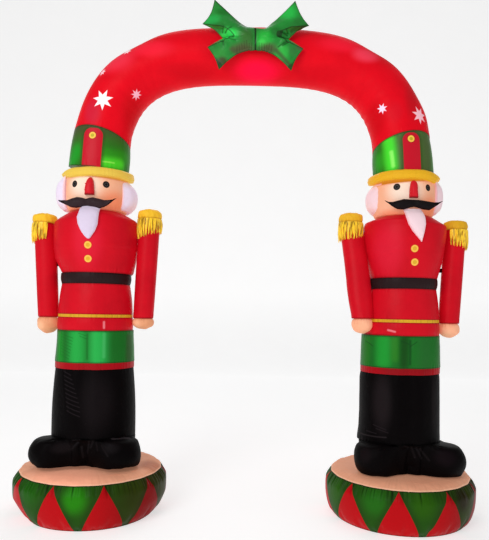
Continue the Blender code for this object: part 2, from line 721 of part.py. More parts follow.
def bow_spot(across, down):
    """Point of the right half of the bow, blended between its four edges."""
    top, bottom = along_corners(BOW_TOP, across), along_corners(BOW_BOTTOM, across)
    end = along_corners(BOW_END, down)
    middle = Corner(0.0, mix(BOW_TOP[0].z, BOW_BOTTOM[0].z, down))
    x, z = (
        mix(middle[n], end[n], across) + mix(top[n], bottom[n], down)
        - mix(mix(BOW_TOP[0][n], BOW_BOTTOM[0][n], down),
              mix(BOW_TOP[-1][n], BOW_BOTTOM[-1][n], down), across)
        for n in range(2)
    )
    return Corner(x, z)


def bow_swell(across, down):
    """Share of the full swell: none at the edges, pinched at the middle seam and the notch."""
    edge = min(1.0, (1.0 - across) / BOW_EDGE_REACH) * math.sqrt(max(0.0, math.sin(math.pi * down)))
    knot = mix(BOW_KNOT, 1.0, min(1.0, across / BOW_KNOT_REACH))
    notch = 1.0 - BOW_NOTCH * across ** 2 * max(0.0, 1.0 - abs(down - 0.5) / BOW_NOTCH_REACH)
    return edge * knot * notch


def build_bow():
    """Padded bow of two sewn faces, pinched at its middle seam, lying on the crown's front."""
    rows = len(BOW_END) - 1
    bm = bmesh.new()
    sheets = {}
    for column in range(-BOW_COLUMNS, BOW_COLUMNS + 1):
        for row in range(rows + 1):
            across, down = abs(column) / BOW_COLUMNS, row / rows
            spot = bow_spot(across, down)
            swell = bow_swell(across, down) if 0 < row < rows and across < 1.0 else 0.0
            x = BOW_X + math.copysign(spot.x, column)
            front = -BOW_PLANE - BOW_FRONT_SWELL * swell
            back = min(-BOW_PLANE + BOW_BACK_SWELL * swell, -BOW_SEAT)
            for face, y in ((1, front), (0, back)):
                if swell == 0.0 and face == 0:
                    sheets[face, column, row] = sheets[1, column, row]
                else:
                    sheets[face, column, row] = bm.verts.new((x, y, spot.z))
    for face in (0, 1):
        for column in range(-BOW_COLUMNS, BOW_COLUMNS):
            for row in range(rows):
                corners = [sheets[face, c, r] for c, r in
                           ((column, row), (column + 1, row), (column + 1, row + 1), (column, row + 1))]
                bm.faces.new(corners if face else reversed(corners))
    add_body("bow", bm, "green")


def main():
    """Build both figures, the tube and the bow."""
    clear_scene()
    for side in SIDES:
        build_figure(side)
    build_arch()
    build_bow()


main()
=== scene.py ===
"""Dressed model of a walk-through inflatable arch: a red tube carried by two toy soldiers on drums.

Every panel of sewn cloth is copied from its solid, cleaned to quads, blown up by the cloth solver
where the real panel shows puckers, worked along its seams, and dressed in satin with painted
light: its colour also shines through the emission, and painted highlights and painted shade lie
on it. Lengths are in metres, and pixels are those of the photograph, counted from its top left corner.
"""

import json
import logging
import math
from dataclasses import dataclass, field
from enum import Enum
from typing import Callable, Iterable, Iterator, Optional, Sequence

import bmesh
import bpy
import numpy as np
from mathutils import Euler, Matrix, Vector, kdtree

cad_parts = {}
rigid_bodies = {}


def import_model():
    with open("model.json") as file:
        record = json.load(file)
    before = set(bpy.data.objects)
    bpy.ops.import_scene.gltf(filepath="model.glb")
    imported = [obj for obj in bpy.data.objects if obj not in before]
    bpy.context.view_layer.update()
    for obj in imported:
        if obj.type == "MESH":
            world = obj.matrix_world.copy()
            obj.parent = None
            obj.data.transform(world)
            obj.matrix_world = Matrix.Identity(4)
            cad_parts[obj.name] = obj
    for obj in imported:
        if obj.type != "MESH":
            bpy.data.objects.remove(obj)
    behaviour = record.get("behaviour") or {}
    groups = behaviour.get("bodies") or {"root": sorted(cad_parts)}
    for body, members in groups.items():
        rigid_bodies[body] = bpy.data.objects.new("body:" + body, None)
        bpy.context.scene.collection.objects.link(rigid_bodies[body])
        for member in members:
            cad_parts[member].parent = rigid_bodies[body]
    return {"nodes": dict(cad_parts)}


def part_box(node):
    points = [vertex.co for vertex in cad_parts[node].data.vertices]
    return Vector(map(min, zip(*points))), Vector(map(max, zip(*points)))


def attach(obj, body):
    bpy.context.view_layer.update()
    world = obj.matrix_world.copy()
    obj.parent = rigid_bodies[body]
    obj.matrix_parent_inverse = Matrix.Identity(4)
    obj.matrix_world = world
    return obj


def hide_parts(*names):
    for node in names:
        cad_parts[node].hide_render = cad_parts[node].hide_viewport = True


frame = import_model()

LOG = logging.getLogger("inflatable_arch")
MATH, VECTOR, MIX, RAMP = "ShaderNodeMath", "ShaderNodeVectorMath", "ShaderNodeMix", "ShaderNodeMapRange"
NOISE, WAVE, PLACE = "ShaderNodeTexNoise", "ShaderNodeTexWave", "ShaderNodeMapping"
SPLIT = "ShaderNodeSeparateXYZ"
BUMP, COORDINATES, ATTRIBUTE = "ShaderNodeBump", "ShaderNodeTexCoord", "ShaderNodeAttribute"
Pixel = tuple[float, float]
Rows = Sequence[tuple[float, float, float]]
Change = Callable[[np.ndarray, np.ndarray], np.ndarray]


class Named(Enum):
    """Choice whose name is part of the nodes' names."""

    @property
    def label(self) -> str:
        """The name in small letters."""
        return self.name.lower()


class Side(Named):
    """The two figures, as seen from the front; the value is the sign of their place along X."""

    LEFT = -1.0
    RIGHT = 1.0


class Hand(Named):
    """The two arms of a figure; the value is the direction out from its middle."""

    OUTER = 1.0
    INNER = -1.0


def hex_linear(code: str) -> tuple[float, float, float, float]:
    """Turns an sRGB hex value such as "c81020" to linear colour.

    Args:
        code: six hex digits.

    Returns:
        Red, green, blue and an alpha of one.
    """
    parts = [int(code[n:n + 2], 16) / 255.0 for n in (0, 2, 4)]
    linear = [c / 12.92 if c <= 0.04045 else ((c + 0.055) / 1.055) ** 2.4 for c in parts]
    return linear[0], linear[1], linear[2], 1.0


def add_node(tree: bpy.types.NodeTree, kind: str, settings: Optional[dict] = None,
             links: Optional[dict] = None) -> bpy.types.Node:
    """Adds a node with its settings and its links.

    Args:
        tree: the node tree it goes in.
        kind: the node's type name.
        settings: attributes by name, and values of inputs by name or number.
        links: sockets, or nodes whose first live output is meant, by input name or number.

    Returns:
        The new node.
    """
    node = tree.nodes.new(kind)
    values = {}
    for key, value in (settings or {}).items():
        if isinstance(key, str) and hasattr(node, key):
            setattr(node, key, value)
        else:
            values[key] = value
    for key, value in list(values.items()) + list((links or {}).items()):
        entry = node.inputs[key] if isinstance(key, int) else next(
            s for s in node.inputs if s.enabled and s.name == key)
        if key in values:
            entry.default_value = value
        else:
            source = next(s for s in value.outputs if s.enabled) if hasattr(value, "outputs") else value
            tree.links.new(source, entry)
    return node


def start_material(name: str, values: dict) -> tuple[bpy.types.Material, bpy.types.NodeTree,
                                                     bpy.types.NodeSocket]:
    """Starts a material.

    Args:
        name: its name.
        values: even values of the shader's inputs, by name.

    Returns:
        The material, its node tree and the socket of the Object coordinates.
    """
    material = bpy.data.materials.new(name)
    material.use_nodes = True
    tree = material.node_tree
    for key, value in values.items():
        tree.nodes["Principled BSDF"].inputs[key].default_value = value
    return material, tree, add_node(tree, COORDINATES).outputs["Object"]


def finish_material(tree: bpy.types.NodeTree, colour: bpy.types.Node, height: bpy.types.NodeSocket,
                    depth: float, strength: float) -> None:
    """Wires a colour, which also shines as painted light through the emission, and a relief to the shader.

    Args:
        tree: the material's node tree.
        colour: node of the colour.
        height: the relief's height.
        depth: what a height of one stands for, in metres.
        strength: share of the relief that shows.
    """
    bump = add_node(tree, BUMP, {"Strength": strength, "Distance": depth}, {"Height": height})
    shader = tree.nodes["Principled BSDF"]
    for entry, source in (("Base Color", colour.outputs[2]), ("Emission Color", colour.outputs[2]),
                          ("Normal", bump.outputs["Normal"])):
        tree.links.new(source, shader.inputs[entry])


# ---------------------------------------------------------------- camera and studio


@dataclass(frozen=True)
class PhotoCamera:
    """The camera of the photograph."""

    width: float = 489.0
    height: float = 540.0
    focal: float = 584.6
    middle: float = 248.7
    horizon: float = 311.6
    pixel: float = 0.00616
    eye_pixels: float = 198.5
    roll: float = math.radians(0.98)
    sensor: float = 36.0

    def matrix(self) -> Matrix:
        """Place and turn of the camera."""
        place = Matrix.Translation((0.0, -self.focal * self.pixel, self.eye_pixels * self.pixel))
        return place @ Matrix.Rotation(math.radians(90.0), 4, "X") @ Matrix.Rotation(self.roll, 4, "Z")

    def build(self) -> None:
        """Makes the camera and gives it to the scene."""
        lens = bpy.data.cameras.new("photo_camera")
        lens.sensor_fit = "AUTO"
        lens.sensor_width = self.sensor
        lens.lens = self.focal / self.height * self.sensor
        lens.shift_x = -(self.middle - self.width / 2.0) / self.height
        lens.shift_y = (self.horizon - self.height / 2.0) / self.height
        camera = bpy.data.objects.new("photo_camera", lens)
        bpy.context.scene.collection.objects.link(camera)
        camera.matrix_world = self.matrix()
        bpy.context.scene.camera = camera

    def way(self, x: float, y: float) -> Vector:
        """Direction of a pixel's ray."""
        across, down = (x - self.middle) / self.focal, (y - self.horizon) / self.focal
        return self.matrix().to_3x3() @ Vector((across, -down, -1.0))

    def slopes(self, x: float, y: float) -> tuple[float, float]:
        """How far a pixel's ray goes sideways and up for each metre that it goes back."""
        way = self.way(x, y)
        return way.x / way.y, way.z / way.y

    def touch(self, piece: bpy.types.Object, x: float, y: float) -> tuple[Vector, Vector]:
        """Point and normal of a piece under a pixel.

        Args:
            piece: the object that is looked at.
            x: pixel from the left.
            y: pixel from the top.

        Returns:
            The point on the piece, or the nearest one where the ray goes past it, and its normal.
        """
        bpy.context.view_layer.update()
        way, eye = self.way(x, y), self.matrix().translation
        hit, point, normal, _ = piece.ray_cast(eye, way.normalized())
        if not hit:
            _, point, normal, _ = piece.closest_point_on_mesh(eye + way * (-eye.y / way.y))
        return point, normal


CAMERA = PhotoCamera()


@dataclass
class Studio:
    """Plain pale sweep, lit from behind as well, with soft lights round it."""

    half_width: float = 11.0
    front: float = -9.0
    back: float = 9.0
    rise: float = 9.0
    bend: float = 1.6
    sky: float = 0.34
    # name, place, point that it looks at, side of its square face and watts of each soft box
    boxes: tuple = (
        ("front_box", (-2.8, -5.2, 3.8), (0.0, 0.0, 1.3), 3.0, 160.0),
        ("right_box", (4.4, -3.6, 2.6), (0.0, 0.0, 1.4), 2.2, 8.0),
        ("back_box", (0.0, 2.8, 5.2), (0.0, 0.0, 1.4), 3.0, 40.0))

    def build_sweep(self) -> None:
        """One sheet that runs back as the floor and bends up behind the arch."""
        bpy.ops.object.select_all(action="DESELECT")
        bpy.ops.mesh.primitive_plane_add(size=1.0, location=(0.0, 0.0, 0.0))
        sweep = bpy.context.object
        sweep.name = "paper_sweep"
        for vert in sweep.data.vertices:
            vert.co.x *= 2.0 * self.half_width
            vert.co.y = self.front + (vert.co.y + 0.5) * (self.back - self.front)
        bpy.ops.object.mode_set(mode="EDIT")
        bpy.ops.mesh.select_all(action="DESELECT")
        bpy.ops.object.mode_set(mode="OBJECT")
        for edge in sweep.data.edges:
            edge.select = all(sweep.data.vertices[v].co.y > self.back - 0.01 for v in edge.vertices)
        bpy.ops.object.mode_set(mode="EDIT")
        bpy.ops.mesh.select_mode(type="EDGE")
        bpy.ops.mesh.extrude_region_move(TRANSFORM_OT_translate={"value": (0.0, 0.0, self.rise)})
        bpy.ops.object.mode_set(mode="OBJECT")
        bevel = sweep.modifiers.new("bend", "BEVEL")
        bevel.width = self.bend
        bevel.segments = 12
        bpy.ops.object.modifier_apply(modifier=bevel.name)
        bpy.ops.object.shade_smooth()
        sweep.data.materials.append(self.paper_material())

    @staticmethod
    def paper_material() -> bpy.types.Material:
        """Matt seamless background paper: even, pale, with a faint mottle."""
        material, tree, place = start_material("seamless_paper", {
            "Base Color": hex_linear("c8c8c8"), "Emission Strength": 0.635, "Roughness": 0.9,
            "Specular IOR Level": 0.1})
        mottle = add_node(tree, NOISE, {"Scale": 2.0, "Detail": 2.0}, {"Vector": place})
        tone = add_node(
            tree, MIX, {"data_type": "RGBA", "A": hex_linear("f6f6f6"), "B": hex_linear("fafafa")},
            {"Factor": mottle})
        tree.links.new(tone.outputs[2], tree.nodes["Principled BSDF"].inputs["Emission Color"])
        return material

    def build(self) -> None:
        """Sweep, sky and soft boxes."""
        self.build_sweep()
        scene = bpy.context.scene
        scene.world = bpy.data.worlds.new("soft_white_room")
        scene.world.use_nodes = True
        sky = scene.world.node_tree.nodes["Background"].inputs
        sky["Color"].default_value, sky["Strength"].default_value = (1.0, 1.0, 1.0, 1.0), self.sky
        for name, place, aim, size, power in self.boxes:
            lamp = bpy.data.lights.new(name, "AREA")
            lamp.shape, lamp.size, lamp.energy = "SQUARE", size, power
            box = bpy.data.objects.new(name, lamp)
            scene.collection.objects.link(box)
            box.location = place
            box.rotation_euler = (Vector(aim) - Vector(place)).to_track_quat("-Z", "Y").to_euler()
        scene.view_settings.view_transform = "Standard"


# ---------------------------------------------------------------- marks on the cloth


def flat_turn(normal: Vector, lean: float) -> Euler:
    """Turn of a flat print whose X runs level, Y up the cloth and Z out of it.

    Args:
        normal: the cloth's normal there.
        lean: extra turn in its own plane, in radians.

    Returns:
        The turn as Euler angles.
    """
    out = normal.normalized()
    level = Vector((0.0, 0.0, 1.0)).cross(out)
    level = level.normalized() if level.length > 0.05 else Vector((1.0, 0.0, 0.0))
    turn = Matrix((level, out.cross(level), out)).transposed()
    return (turn @ Matrix.Rotation(lean, 3, "Z")).to_euler()


def from_box(tree: bpy.types.NodeTree, place: bpy.types.NodeSocket, centre: Vector, turn: Euler,
             half: tuple[float, float, float]) -> bpy.types.Node:
    """Adds the nodes that measure how far a point lies from a turned box.

    Args:
        tree: the material's node tree.
        place: the cloth's coordinates.
        centre: middle of the box.
        turn: turn of the box.
        half: half of its sides.

    Returns:
        Node that gives the distance.
    """
    here = add_node(
        tree, PLACE, {"vector_type": "TEXTURE", "Location": centre, "Rotation": turn}, {"Vector": place})
    for operation, other in (("ABSOLUTE", (0.0, 0.0, 0.0)), ("SUBTRACT", half), ("MAXIMUM", (0.0, 0.0, 0.0)),
                             ("LENGTH", (0.0, 0.0, 0.0))):
        here = add_node(tree, VECTOR, {"operation": operation, 1: other}, {0: here})
    return here


class Mark:
    """Area of the cloth that has another colour."""

    def layers(self, tree: bpy.types.NodeTree, place: bpy.types.NodeSocket) -> Iterator[tuple]:
        """Adds the nodes that find the area; each kind of mark has its own.

        Args:
            tree: the material's node tree.
            place: the cloth's coordinates.

        Yields:
            Hex colours to lay, in order, each with the node that gives its share.
        """
        raise NotImplementedError

    def lay(self, tree: bpy.types.NodeTree, place: bpy.types.NodeSocket,
            colour: bpy.types.Node) -> bpy.types.Node:
        """Lays the area over a colour.

        Args:
            tree: the material's node tree.
            place: the cloth's coordinates.
            colour: node of the colour below.

        Returns:
            Node of the new colour.
        """
        for code, share in self.layers(tree, place):
            colour = add_node(
                tree, MIX, {"data_type": "RGBA", "B": hex_linear(code)}, {"Factor": share, "A": colour})
        return colour


@dataclass(frozen=True)
class Glow(Mark):
    """Soft-edged patch of painted light, where the satin is drawn lighter, or of painted shade, where a
    turned-away part is drawn darker.
    """

    centre: Vector
    reach: tuple[float, float, float]
    colour: str
    share: float = 1.0

    def layers(self, tree: bpy.types.NodeTree, place: bpy.types.NodeSocket) -> Iterator[tuple]:
        """As in Mark."""
        here = add_node(tree, PLACE, {"vector_type": "TEXTURE", "Location": self.centre, "Scale": self.reach},
                        {"Vector": place})
        away = add_node(tree, VECTOR, {"operation": "LENGTH"}, {0: here})
        yield self.colour, add_node(
            tree, RAMP, {"interpolation_type": "SMOOTHERSTEP", "From Min": 1.0, "From Max": 0.15,
            "To Max": self.share}, {"Value": away})


@dataclass(frozen=True)
class Disc(Mark):
    """Round print or stitched-on patch."""

    centre: Vector
    radius: float
    colour: str
    edge: float = 0.0015

    def layers(self, tree: bpy.types.NodeTree, place: bpy.types.NodeSocket) -> Iterator[tuple]:
        """As in Mark."""
        away = add_node(tree, VECTOR, {"operation": "DISTANCE", 1: self.centre}, {0: place})
        yield self.colour, add_node(
            tree, RAMP, {"From Min": self.radius + self.edge, "From Max": self.radius - self.edge},
            {"Value": away})


@dataclass(frozen=True)
class Streak(Mark):
    """Painted shade along a fold or tuck, or a painted band of light, that runs straight over the cloth."""

    start: Vector
    end: Vector
    width: float
    colour: str
    share: float = 0.85

    def layers(self, tree: bpy.types.NodeTree, place: bpy.types.NodeSocket) -> Iterator[tuple]:
        """As in Mark."""
        run = self.end - self.start
        along = run.normalized()
        inward = (Vector((0.0, 1.0, 0.0)) - along * along.y).normalized()
        turn = Matrix((along, inward, along.cross(inward))).transposed().to_euler()
        away = from_box(tree, place, (self.start + self.end) / 2.0, turn, (run.length / 2.0, 0.02, 0.0))
        yield self.colour, add_node(
            tree, RAMP, {"interpolation_type": "SMOOTHERSTEP", "From Min": self.width, "From Max": 0.0,
            "To Max": self.share}, {"Value": away})


@dataclass(frozen=True)
class Star(Mark):
    """Printed star with straight-sided points."""

    centre: Vector
    turn: Euler
    radius: float
    points: int
    colour: str
    notch: float = 0.46
    edge: float = 0.0012

    def layers(self, tree: bpy.types.NodeTree, place: bpy.types.NodeSocket) -> Iterator[tuple]:
        """As in Mark; one half point is folded over all others, and its side is a straight line."""
        here = add_node(
            tree, PLACE, {"vector_type": "TEXTURE", "Location": self.centre, "Rotation": self.turn},
            {"Vector": place})
        parts = add_node(tree, SPLIT, {}, {0: here})
        angle = add_node(tree, MATH, {"operation": "ARCTAN2"}, {0: parts.outputs["X"], 1: parts.outputs["Y"]})
        half = math.pi / self.points
        deep = self.notch * self.radius
        slope = math.atan2(deep * math.sin(half), deep * math.cos(half) - self.radius)
        off = add_node(tree, MATH, {"operation": "PINGPONG", 1: half}, {0: angle})
        off = add_node(tree, MATH, {"operation": "SUBTRACT", 0: slope}, {1: off})
        off = add_node(tree, MATH, {"operation": "SINE"}, {0: off})
        away = add_node(tree, VECTOR, {"operation": "LENGTH"}, {0: here})
        reach = add_node(tree, MATH, {"operation": "MULTIPLY"}, {0: off, 1: away})
        line = self.radius * math.sin(slope)
        yield self.colour, add_node(
            tree, RAMP, {"From Min": line + self.edge, "From Max": line - self.edge}, {"Value": reach})


@dataclass(frozen=True)
class Stripe(Mark):
    """Upright sewn-in stripe with a rounded top and painted shade in the pucker round it."""

    centre: Vector
    turn: Euler
    half_width: float
    half_height: float
    round: float
    colour: str
    shade: str
    edge: float = 0.0015
    pucker: float = 0.022

    def layers(self, tree: bpy.types.NodeTree, place: bpy.types.NodeSocket) -> Iterator[tuple]:
        """As in Mark."""
        half = (self.half_width - self.round, self.half_height - self.round, 0.12)
        away = from_box(tree, place, self.centre, self.turn, half)
        # Painted shade in the pucker round the stripe, then the stripe's own colour.
        yield self.shade, add_node(
            tree, RAMP, {"From Min": self.round + self.pucker, "From Max": self.round, "To Max": 0.75},
            {"Value": away})
        yield self.colour, add_node(
            tree, RAMP, {"From Min": self.round + self.edge, "From Max": self.round - self.edge},
            {"Value": away})


@dataclass(frozen=True)
class Zigzag(Mark):
    """Triangles let into the side of a drum, points up, set a little closer in front."""

    axis: Vector
    top: float
    first: float
    count: int
    flat: float
    colour: str
    shade: str
    edge: float = 0.0015
    closer: float = 0.055
    swell: float = 1.12
    pucker: float = 0.16

    def layers(self, tree: bpy.types.NodeTree, place: bpy.types.NodeSocket) -> Iterator[tuple]:
        """As in Mark; one half triangle is folded over all others."""
        here = add_node(tree, VECTOR, {"operation": "SUBTRACT", 1: self.axis}, {0: place})
        parts = add_node(tree, SPLIT, {}, {0: here})
        front = add_node(tree, MATH, {"operation": "MULTIPLY", 1: -1.0}, {0: parts.outputs["Y"]})
        angle = add_node(tree, MATH, {"operation": "ARCTAN2"}, {0: parts.outputs["X"], 1: front})
        swing = add_node(tree, MATH, {"operation": "SINE"}, {0: angle})
        angle = add_node(tree, MATH, {"operation": "MULTIPLY_ADD", 1: self.closer}, {0: swing, 2: angle})
        pitch = math.tau / self.count
        turns = add_node(
            tree, MATH, {"operation": "MULTIPLY_ADD", 1: 1.0 / pitch, 2: -self.first / pitch}, {0: angle})
        off = add_node(tree, MATH, {"operation": "PINGPONG", 1: 0.5}, {0: turns})
        rise = add_node(tree, RAMP, {"From Max": self.top}, {"Value": parts.outputs["Z"]})
        rise = add_node(tree, MATH, {"operation": "POWER", 1: self.swell}, {0: rise})
        half = 0.5 - self.flat / pitch
        gap = add_node(tree, MATH, {"operation": "MULTIPLY_ADD", 1: half}, {0: rise, 2: off})
        yield self.shade, add_node(
            tree, RAMP, {"interpolation_type": "SMOOTHSTEP", "From Min": half + self.pucker, "From Max": half,
            "To Max": 0.45}, {"Value": gap})
        yield self.colour, add_node(
            tree, RAMP, {"From Min": half + self.edge, "From Max": half - self.edge}, {"Value": gap})


# ---------------------------------------------------------------- finishes


@dataclass(frozen=True)
class PaintedLightSatin:
    """Satin-faced polyester of an air-filled figure, with painted light in its colour.

    The thin cloth shines a little with its own colour through the emission, a painted light that
    lightens it and evens out its shading; it shines along its bends, and is finely crumpled where air
    has not pulled it tight. Near a seam its colour turns to the seam colour, with painted shade where
    that is darker, and the folds of its gathers can carry painted shade. The weave, about 0.3 mm a
    thread, is drawn ten times as coarse, because it would not show otherwise.
    """

    name: str
    colour: str
    turned: str
    # strength of the painted light that the cloth's own colour gives through the emission
    glow: float = 0.22
    roughness: float = 0.42
    gloss: float = 0.12
    crumple: float = 0.35
    mottle: float = 0.35
    mottle_size: float = 0.16
    crumple_size: float = 0.055
    weave_size: float = 0.003
    gather_pitch: float = 0.016
    gather_reach: float = 0.045
    gather: float = 0.8
    gather_above: float = -1.0
    # seam colour, with painted shade where it is darker than the cloth, then its reach and its share
    seam: str = ""
    seam_reach: float = 0.010
    seam_share: float = 0.55
    # share of painted shade in the folds of the gathers
    painted_fold_shade: float = 0.0

    def material(self, piece: str, marks: Iterable[Mark] = ()) -> bpy.types.Material:
        """Makes the cloth for one piece.

        Args:
            piece: name of the piece, which ends the material's name.
            marks: patches of painted light and shade, and prints, in the order in which they lie on each
                other.

        Returns:
            The new material.
        """
        # The emission is painted light: the cloth's own colour shines from it.
        material, tree, place = start_material(f"{self.name}_{piece}", {
            "Emission Strength": self.glow, "Roughness": self.roughness, "Specular IOR Level": self.gloss})
        near = add_node(tree, ATTRIBUTE, {"attribute_name": "from_seam"}).outputs["Fac"]
        cloud = add_node(tree, NOISE, {"Scale": 1.0 / self.mottle_size, "Detail": 3.0, "Roughness": 0.6},
                         {"Vector": place})
        mottle = add_node(
            tree, RAMP, {"From Min": 0.38, "From Max": 0.72, "To Max": self.mottle}, {"Value": cloud})
        colour = add_node(
            tree, MIX, {"data_type": "RGBA", "A": hex_linear(self.colour), "B": hex_linear(self.turned)},
            {"Factor": mottle})
        for mark in marks:
            colour = mark.lay(tree, place, colour)
        height, folds = self.relief(tree, place, near)
        # Painted shade: darker in the folds of the gathers.
        if self.painted_fold_shade > 0.0:
            fold_shade_mask = add_node(
                tree, RAMP, {"From Min": 0.50, "From Max": 0.20, "To Max": self.painted_fold_shade}, {"Value": folds})
            colour = add_node(
                tree, MIX, {"data_type": "RGBA", "blend_type": "MULTIPLY", "B": hex_linear("6a6a5a")},
                {"Factor": fold_shade_mask, "A": colour})
        # Near a seam the colour turns to the seam colour: the seam line, with painted shade where that colour
        # is darker.
        line = add_node(
            tree, RAMP, {"interpolation_type": "SMOOTHSTEP", "From Min": self.seam_reach, "From Max": 0.001,
            "To Max": self.seam_share}, {"Value": near})
        colour = add_node(
            tree, MIX, {"data_type": "RGBA", "B": hex_linear(self.seam or self.turned)},
            {"Factor": line, "A": colour})
        finish_material(tree, colour, height, 0.006, 0.9)
        return material

    def relief(self, tree: bpy.types.NodeTree, place: bpy.types.NodeSocket,
               near: bpy.types.NodeSocket) -> tuple[bpy.types.Node, bpy.types.Node]:
        """Adds the nodes of crumples, seam gathers and weave.

        Args:
            tree: the material's node tree.
            place: the cloth's coordinates.
            near: distance from a seam.

        Returns:
            The full height, and the gathers alone, flat at a half where they end.
        """
        crumple = add_node(
            tree, NOISE, {"Scale": 1.0 / self.crumple_size, "Detail": 4.0, "Roughness": 0.55,
            "Distortion": 0.8}, {"Vector": place})
        round_way = add_node(tree, ATTRIBUTE, {"attribute_name": "round_way"}).outputs["Vector"]
        folds = add_node(
            tree, NOISE, {"Scale": 1.0 / self.gather_pitch, "Detail": 1.0}, {"Vector": round_way})
        fade = add_node(
            tree, RAMP, {"interpolation_type": "SMOOTHSTEP", "From Min": self.gather_reach, "From Max": 0.0,
            "To Max": self.gather}, {"Value": near})
        if self.gather_above >= 0.0:
            height = add_node(tree, SPLIT, {}, {0: place}).outputs["Z"]
            fade = add_node(tree, RAMP, {"From Min": self.gather_above, "From Max": self.gather_above + 0.06},
                            {"Value": height, "To Max": fade})
        even = add_node(tree, MATH, {"operation": "SUBTRACT", 1: 0.5}, {0: folds})
        gathers = add_node(tree, MATH, {"operation": "MULTIPLY_ADD", 2: 0.5}, {0: even, 1: fade})
        weave = add_node(
            tree, WAVE, {"Scale": 1.0 / (self.weave_size * 20.0), "Distortion": 0.4,
            "bands_direction": "DIAGONAL"}, {"Vector": place})
        total = add_node(tree, MATH, {"operation": "MULTIPLY_ADD", 1: self.crumple}, {0: crumple, 2: gathers})
        full = add_node(
            tree, MATH, {"operation": "MULTIPLY_ADD", 1: 0.012}, {0: weave.outputs["Fac"], 2: total})
        return full, gathers


@dataclass(frozen=True)
class TwistedYarn:
    """Glossy rayon yarn of an epaulette fringe: twisted, so it sparkles in short diagonal bands."""

    name: str = "rayon_yarn"
    light: str = "f4cc34"
    dark: str = "94701a"

    def material(self, piece: str) -> bpy.types.Material:
        """Makes the yarn.

        Args:
            piece: name of the piece, which ends the material's name.

        Returns:
            The new material.
        """
        # The emission is painted light: the yarn's own colour shines from it.
        material, tree, place = start_material(f"{self.name}_{piece}", {
            "Emission Strength": 0.25, "Roughness": 0.34, "Specular IOR Level": 0.3})
        long_way = add_node(tree, PLACE, {"Scale": (1.0, 1.0, 0.14)}, {"Vector": place})
        strand = add_node(tree, NOISE, {"Scale": 110.0, "Detail": 2.0}, {"Vector": long_way})
        tone = add_node(tree, RAMP, {"From Min": 0.34, "From Max": 0.54}, {"Value": strand})
        colour = add_node(
            tree, MIX, {"data_type": "RGBA", "A": hex_linear(self.dark), "B": hex_linear(self.light)},
            {"Factor": tone})
        twist = add_node(tree, WAVE, {"Scale": 28.0, "bands_direction": "DIAGONAL"}, {"Vector": place})
        finish_material(tree, colour, twist.outputs["Fac"], 0.001, 0.5)
        return material


# Each cloth below shines a little with its own colour through the emission, as painted light.
RED = PaintedLightSatin(
    "red_painted_light_satin", "cc0e20", "b00818", glow=0.20, mottle=0.5, gloss=0.08, seam="8c0812", seam_share=0.7)
NOSE_RED = PaintedLightSatin(
    "nose_satin", "cc1c28", "b81420", glow=0.22, seam="8e0810", seam_reach=0.012, seam_share=0.9)
ARCH_RED = PaintedLightSatin("arch_lamp_satin", "dc0a1c", "c20616", glow=0.25, gloss=0.05, mottle=0.45, seam="9c0810")
TROUSER_GREEN = PaintedLightSatin(
    "trouser_satin", "1a6822", "14561c", glow=0.22, gloss=0.07, roughness=0.36, seam="16381a", seam_share=0.8,
    mottle=0.25)
HAT_GREEN = PaintedLightSatin(
    "hat_satin", "28761a", "28581c", glow=0.24, gloss=0.09, roughness=0.36, seam="26341a", seam_share=0.8)
BOW_GREEN = PaintedLightSatin(
    "bow_satin", "1f8230", "2c5c28", glow=0.24, gloss=0.2, roughness=0.36, seam="14280e", seam_reach=0.007,
    seam_share=0.75, mottle=0.4, gather_reach=0.05, painted_fold_shade=0.5)
DRUM_GREEN = PaintedLightSatin(
    "drum_satin", "225010", "1a380c", glow=0.14, roughness=0.42, gloss=0.06, gather=1.6, gather_reach=0.10,
    gather_pitch=0.013, gather_above=0.13, seam="18280f", seam_share=0.7, painted_fold_shade=0.9)
YELLOW = PaintedLightSatin(
    "yellow_satin", "f2c434", "dc9c1c", glow=0.32, roughness=0.5, seam="a8781a", mottle=0.8,
    gather_reach=0.03, gather_pitch=0.012, painted_fold_shade=0.6)
# The two brims are one yellow cloth: the left copy is paler and the right one deeper, as painted light and
# shade.
BRIM_YELLOW = {
    Side.LEFT: PaintedLightSatin("brim_satin", "fce264", "f4c840", glow=0.43, roughness=0.45, seam="a8781a"),
    Side.RIGHT: PaintedLightSatin("brim_satin", "ffc822", "f6b41c", glow=0.43, roughness=0.45, seam="a0701a")}
BLACK = PaintedLightSatin(
    "black_satin", "090607", "020101", glow=0.0, roughness=0.5, gloss=0.03, crumple=0.5, seam="020202")
BELT_BLACK = PaintedLightSatin("belt_satin", "2a1a1c", "1c1214", glow=0.05, roughness=0.5, gloss=0.10, seam="0c0808")
# One black cloth for both moustaches: a lighter copy on the left and a darker one on the right, as painted
# light and shade.
LIT_MOUSTACHE_BLACK = PaintedLightSatin(
    "moustache_satin", "34272b", "221a1d", glow=0.05, roughness=0.5, gloss=0.08, seam="040203",
    seam_reach=0.014, seam_share=1.0)
SHADED_MOUSTACHE_BLACK = PaintedLightSatin(
    "moustache_satin", "1a1517", "0c0a0b", glow=0.0, roughness=0.5, gloss=0.06, seam="020102",
    seam_reach=0.014, seam_share=1.0)
SKIN = PaintedLightSatin("skin_lamp_satin", "ecb090", "e0966a", glow=0.28, roughness=0.55, seam="c87850", mottle=0.4)
# The two figures' hands are one cloth: the left copy is darker and the right one lighter, as painted light
# and shade.
HAND_SKIN = {
    Side.LEFT: PaintedLightSatin("hand_satin", "e09c74", "d08454", glow=0.28, roughness=0.55, seam="a85c3c",
    gather_reach=0.05, painted_fold_shade=0.3), Side.RIGHT: PaintedLightSatin("hand_satin", "f4b08c", "e2946c", glow=0.28,
    roughness=0.55, seam="a85c3c", gather_reach=0.05, painted_fold_shade=0.3)}
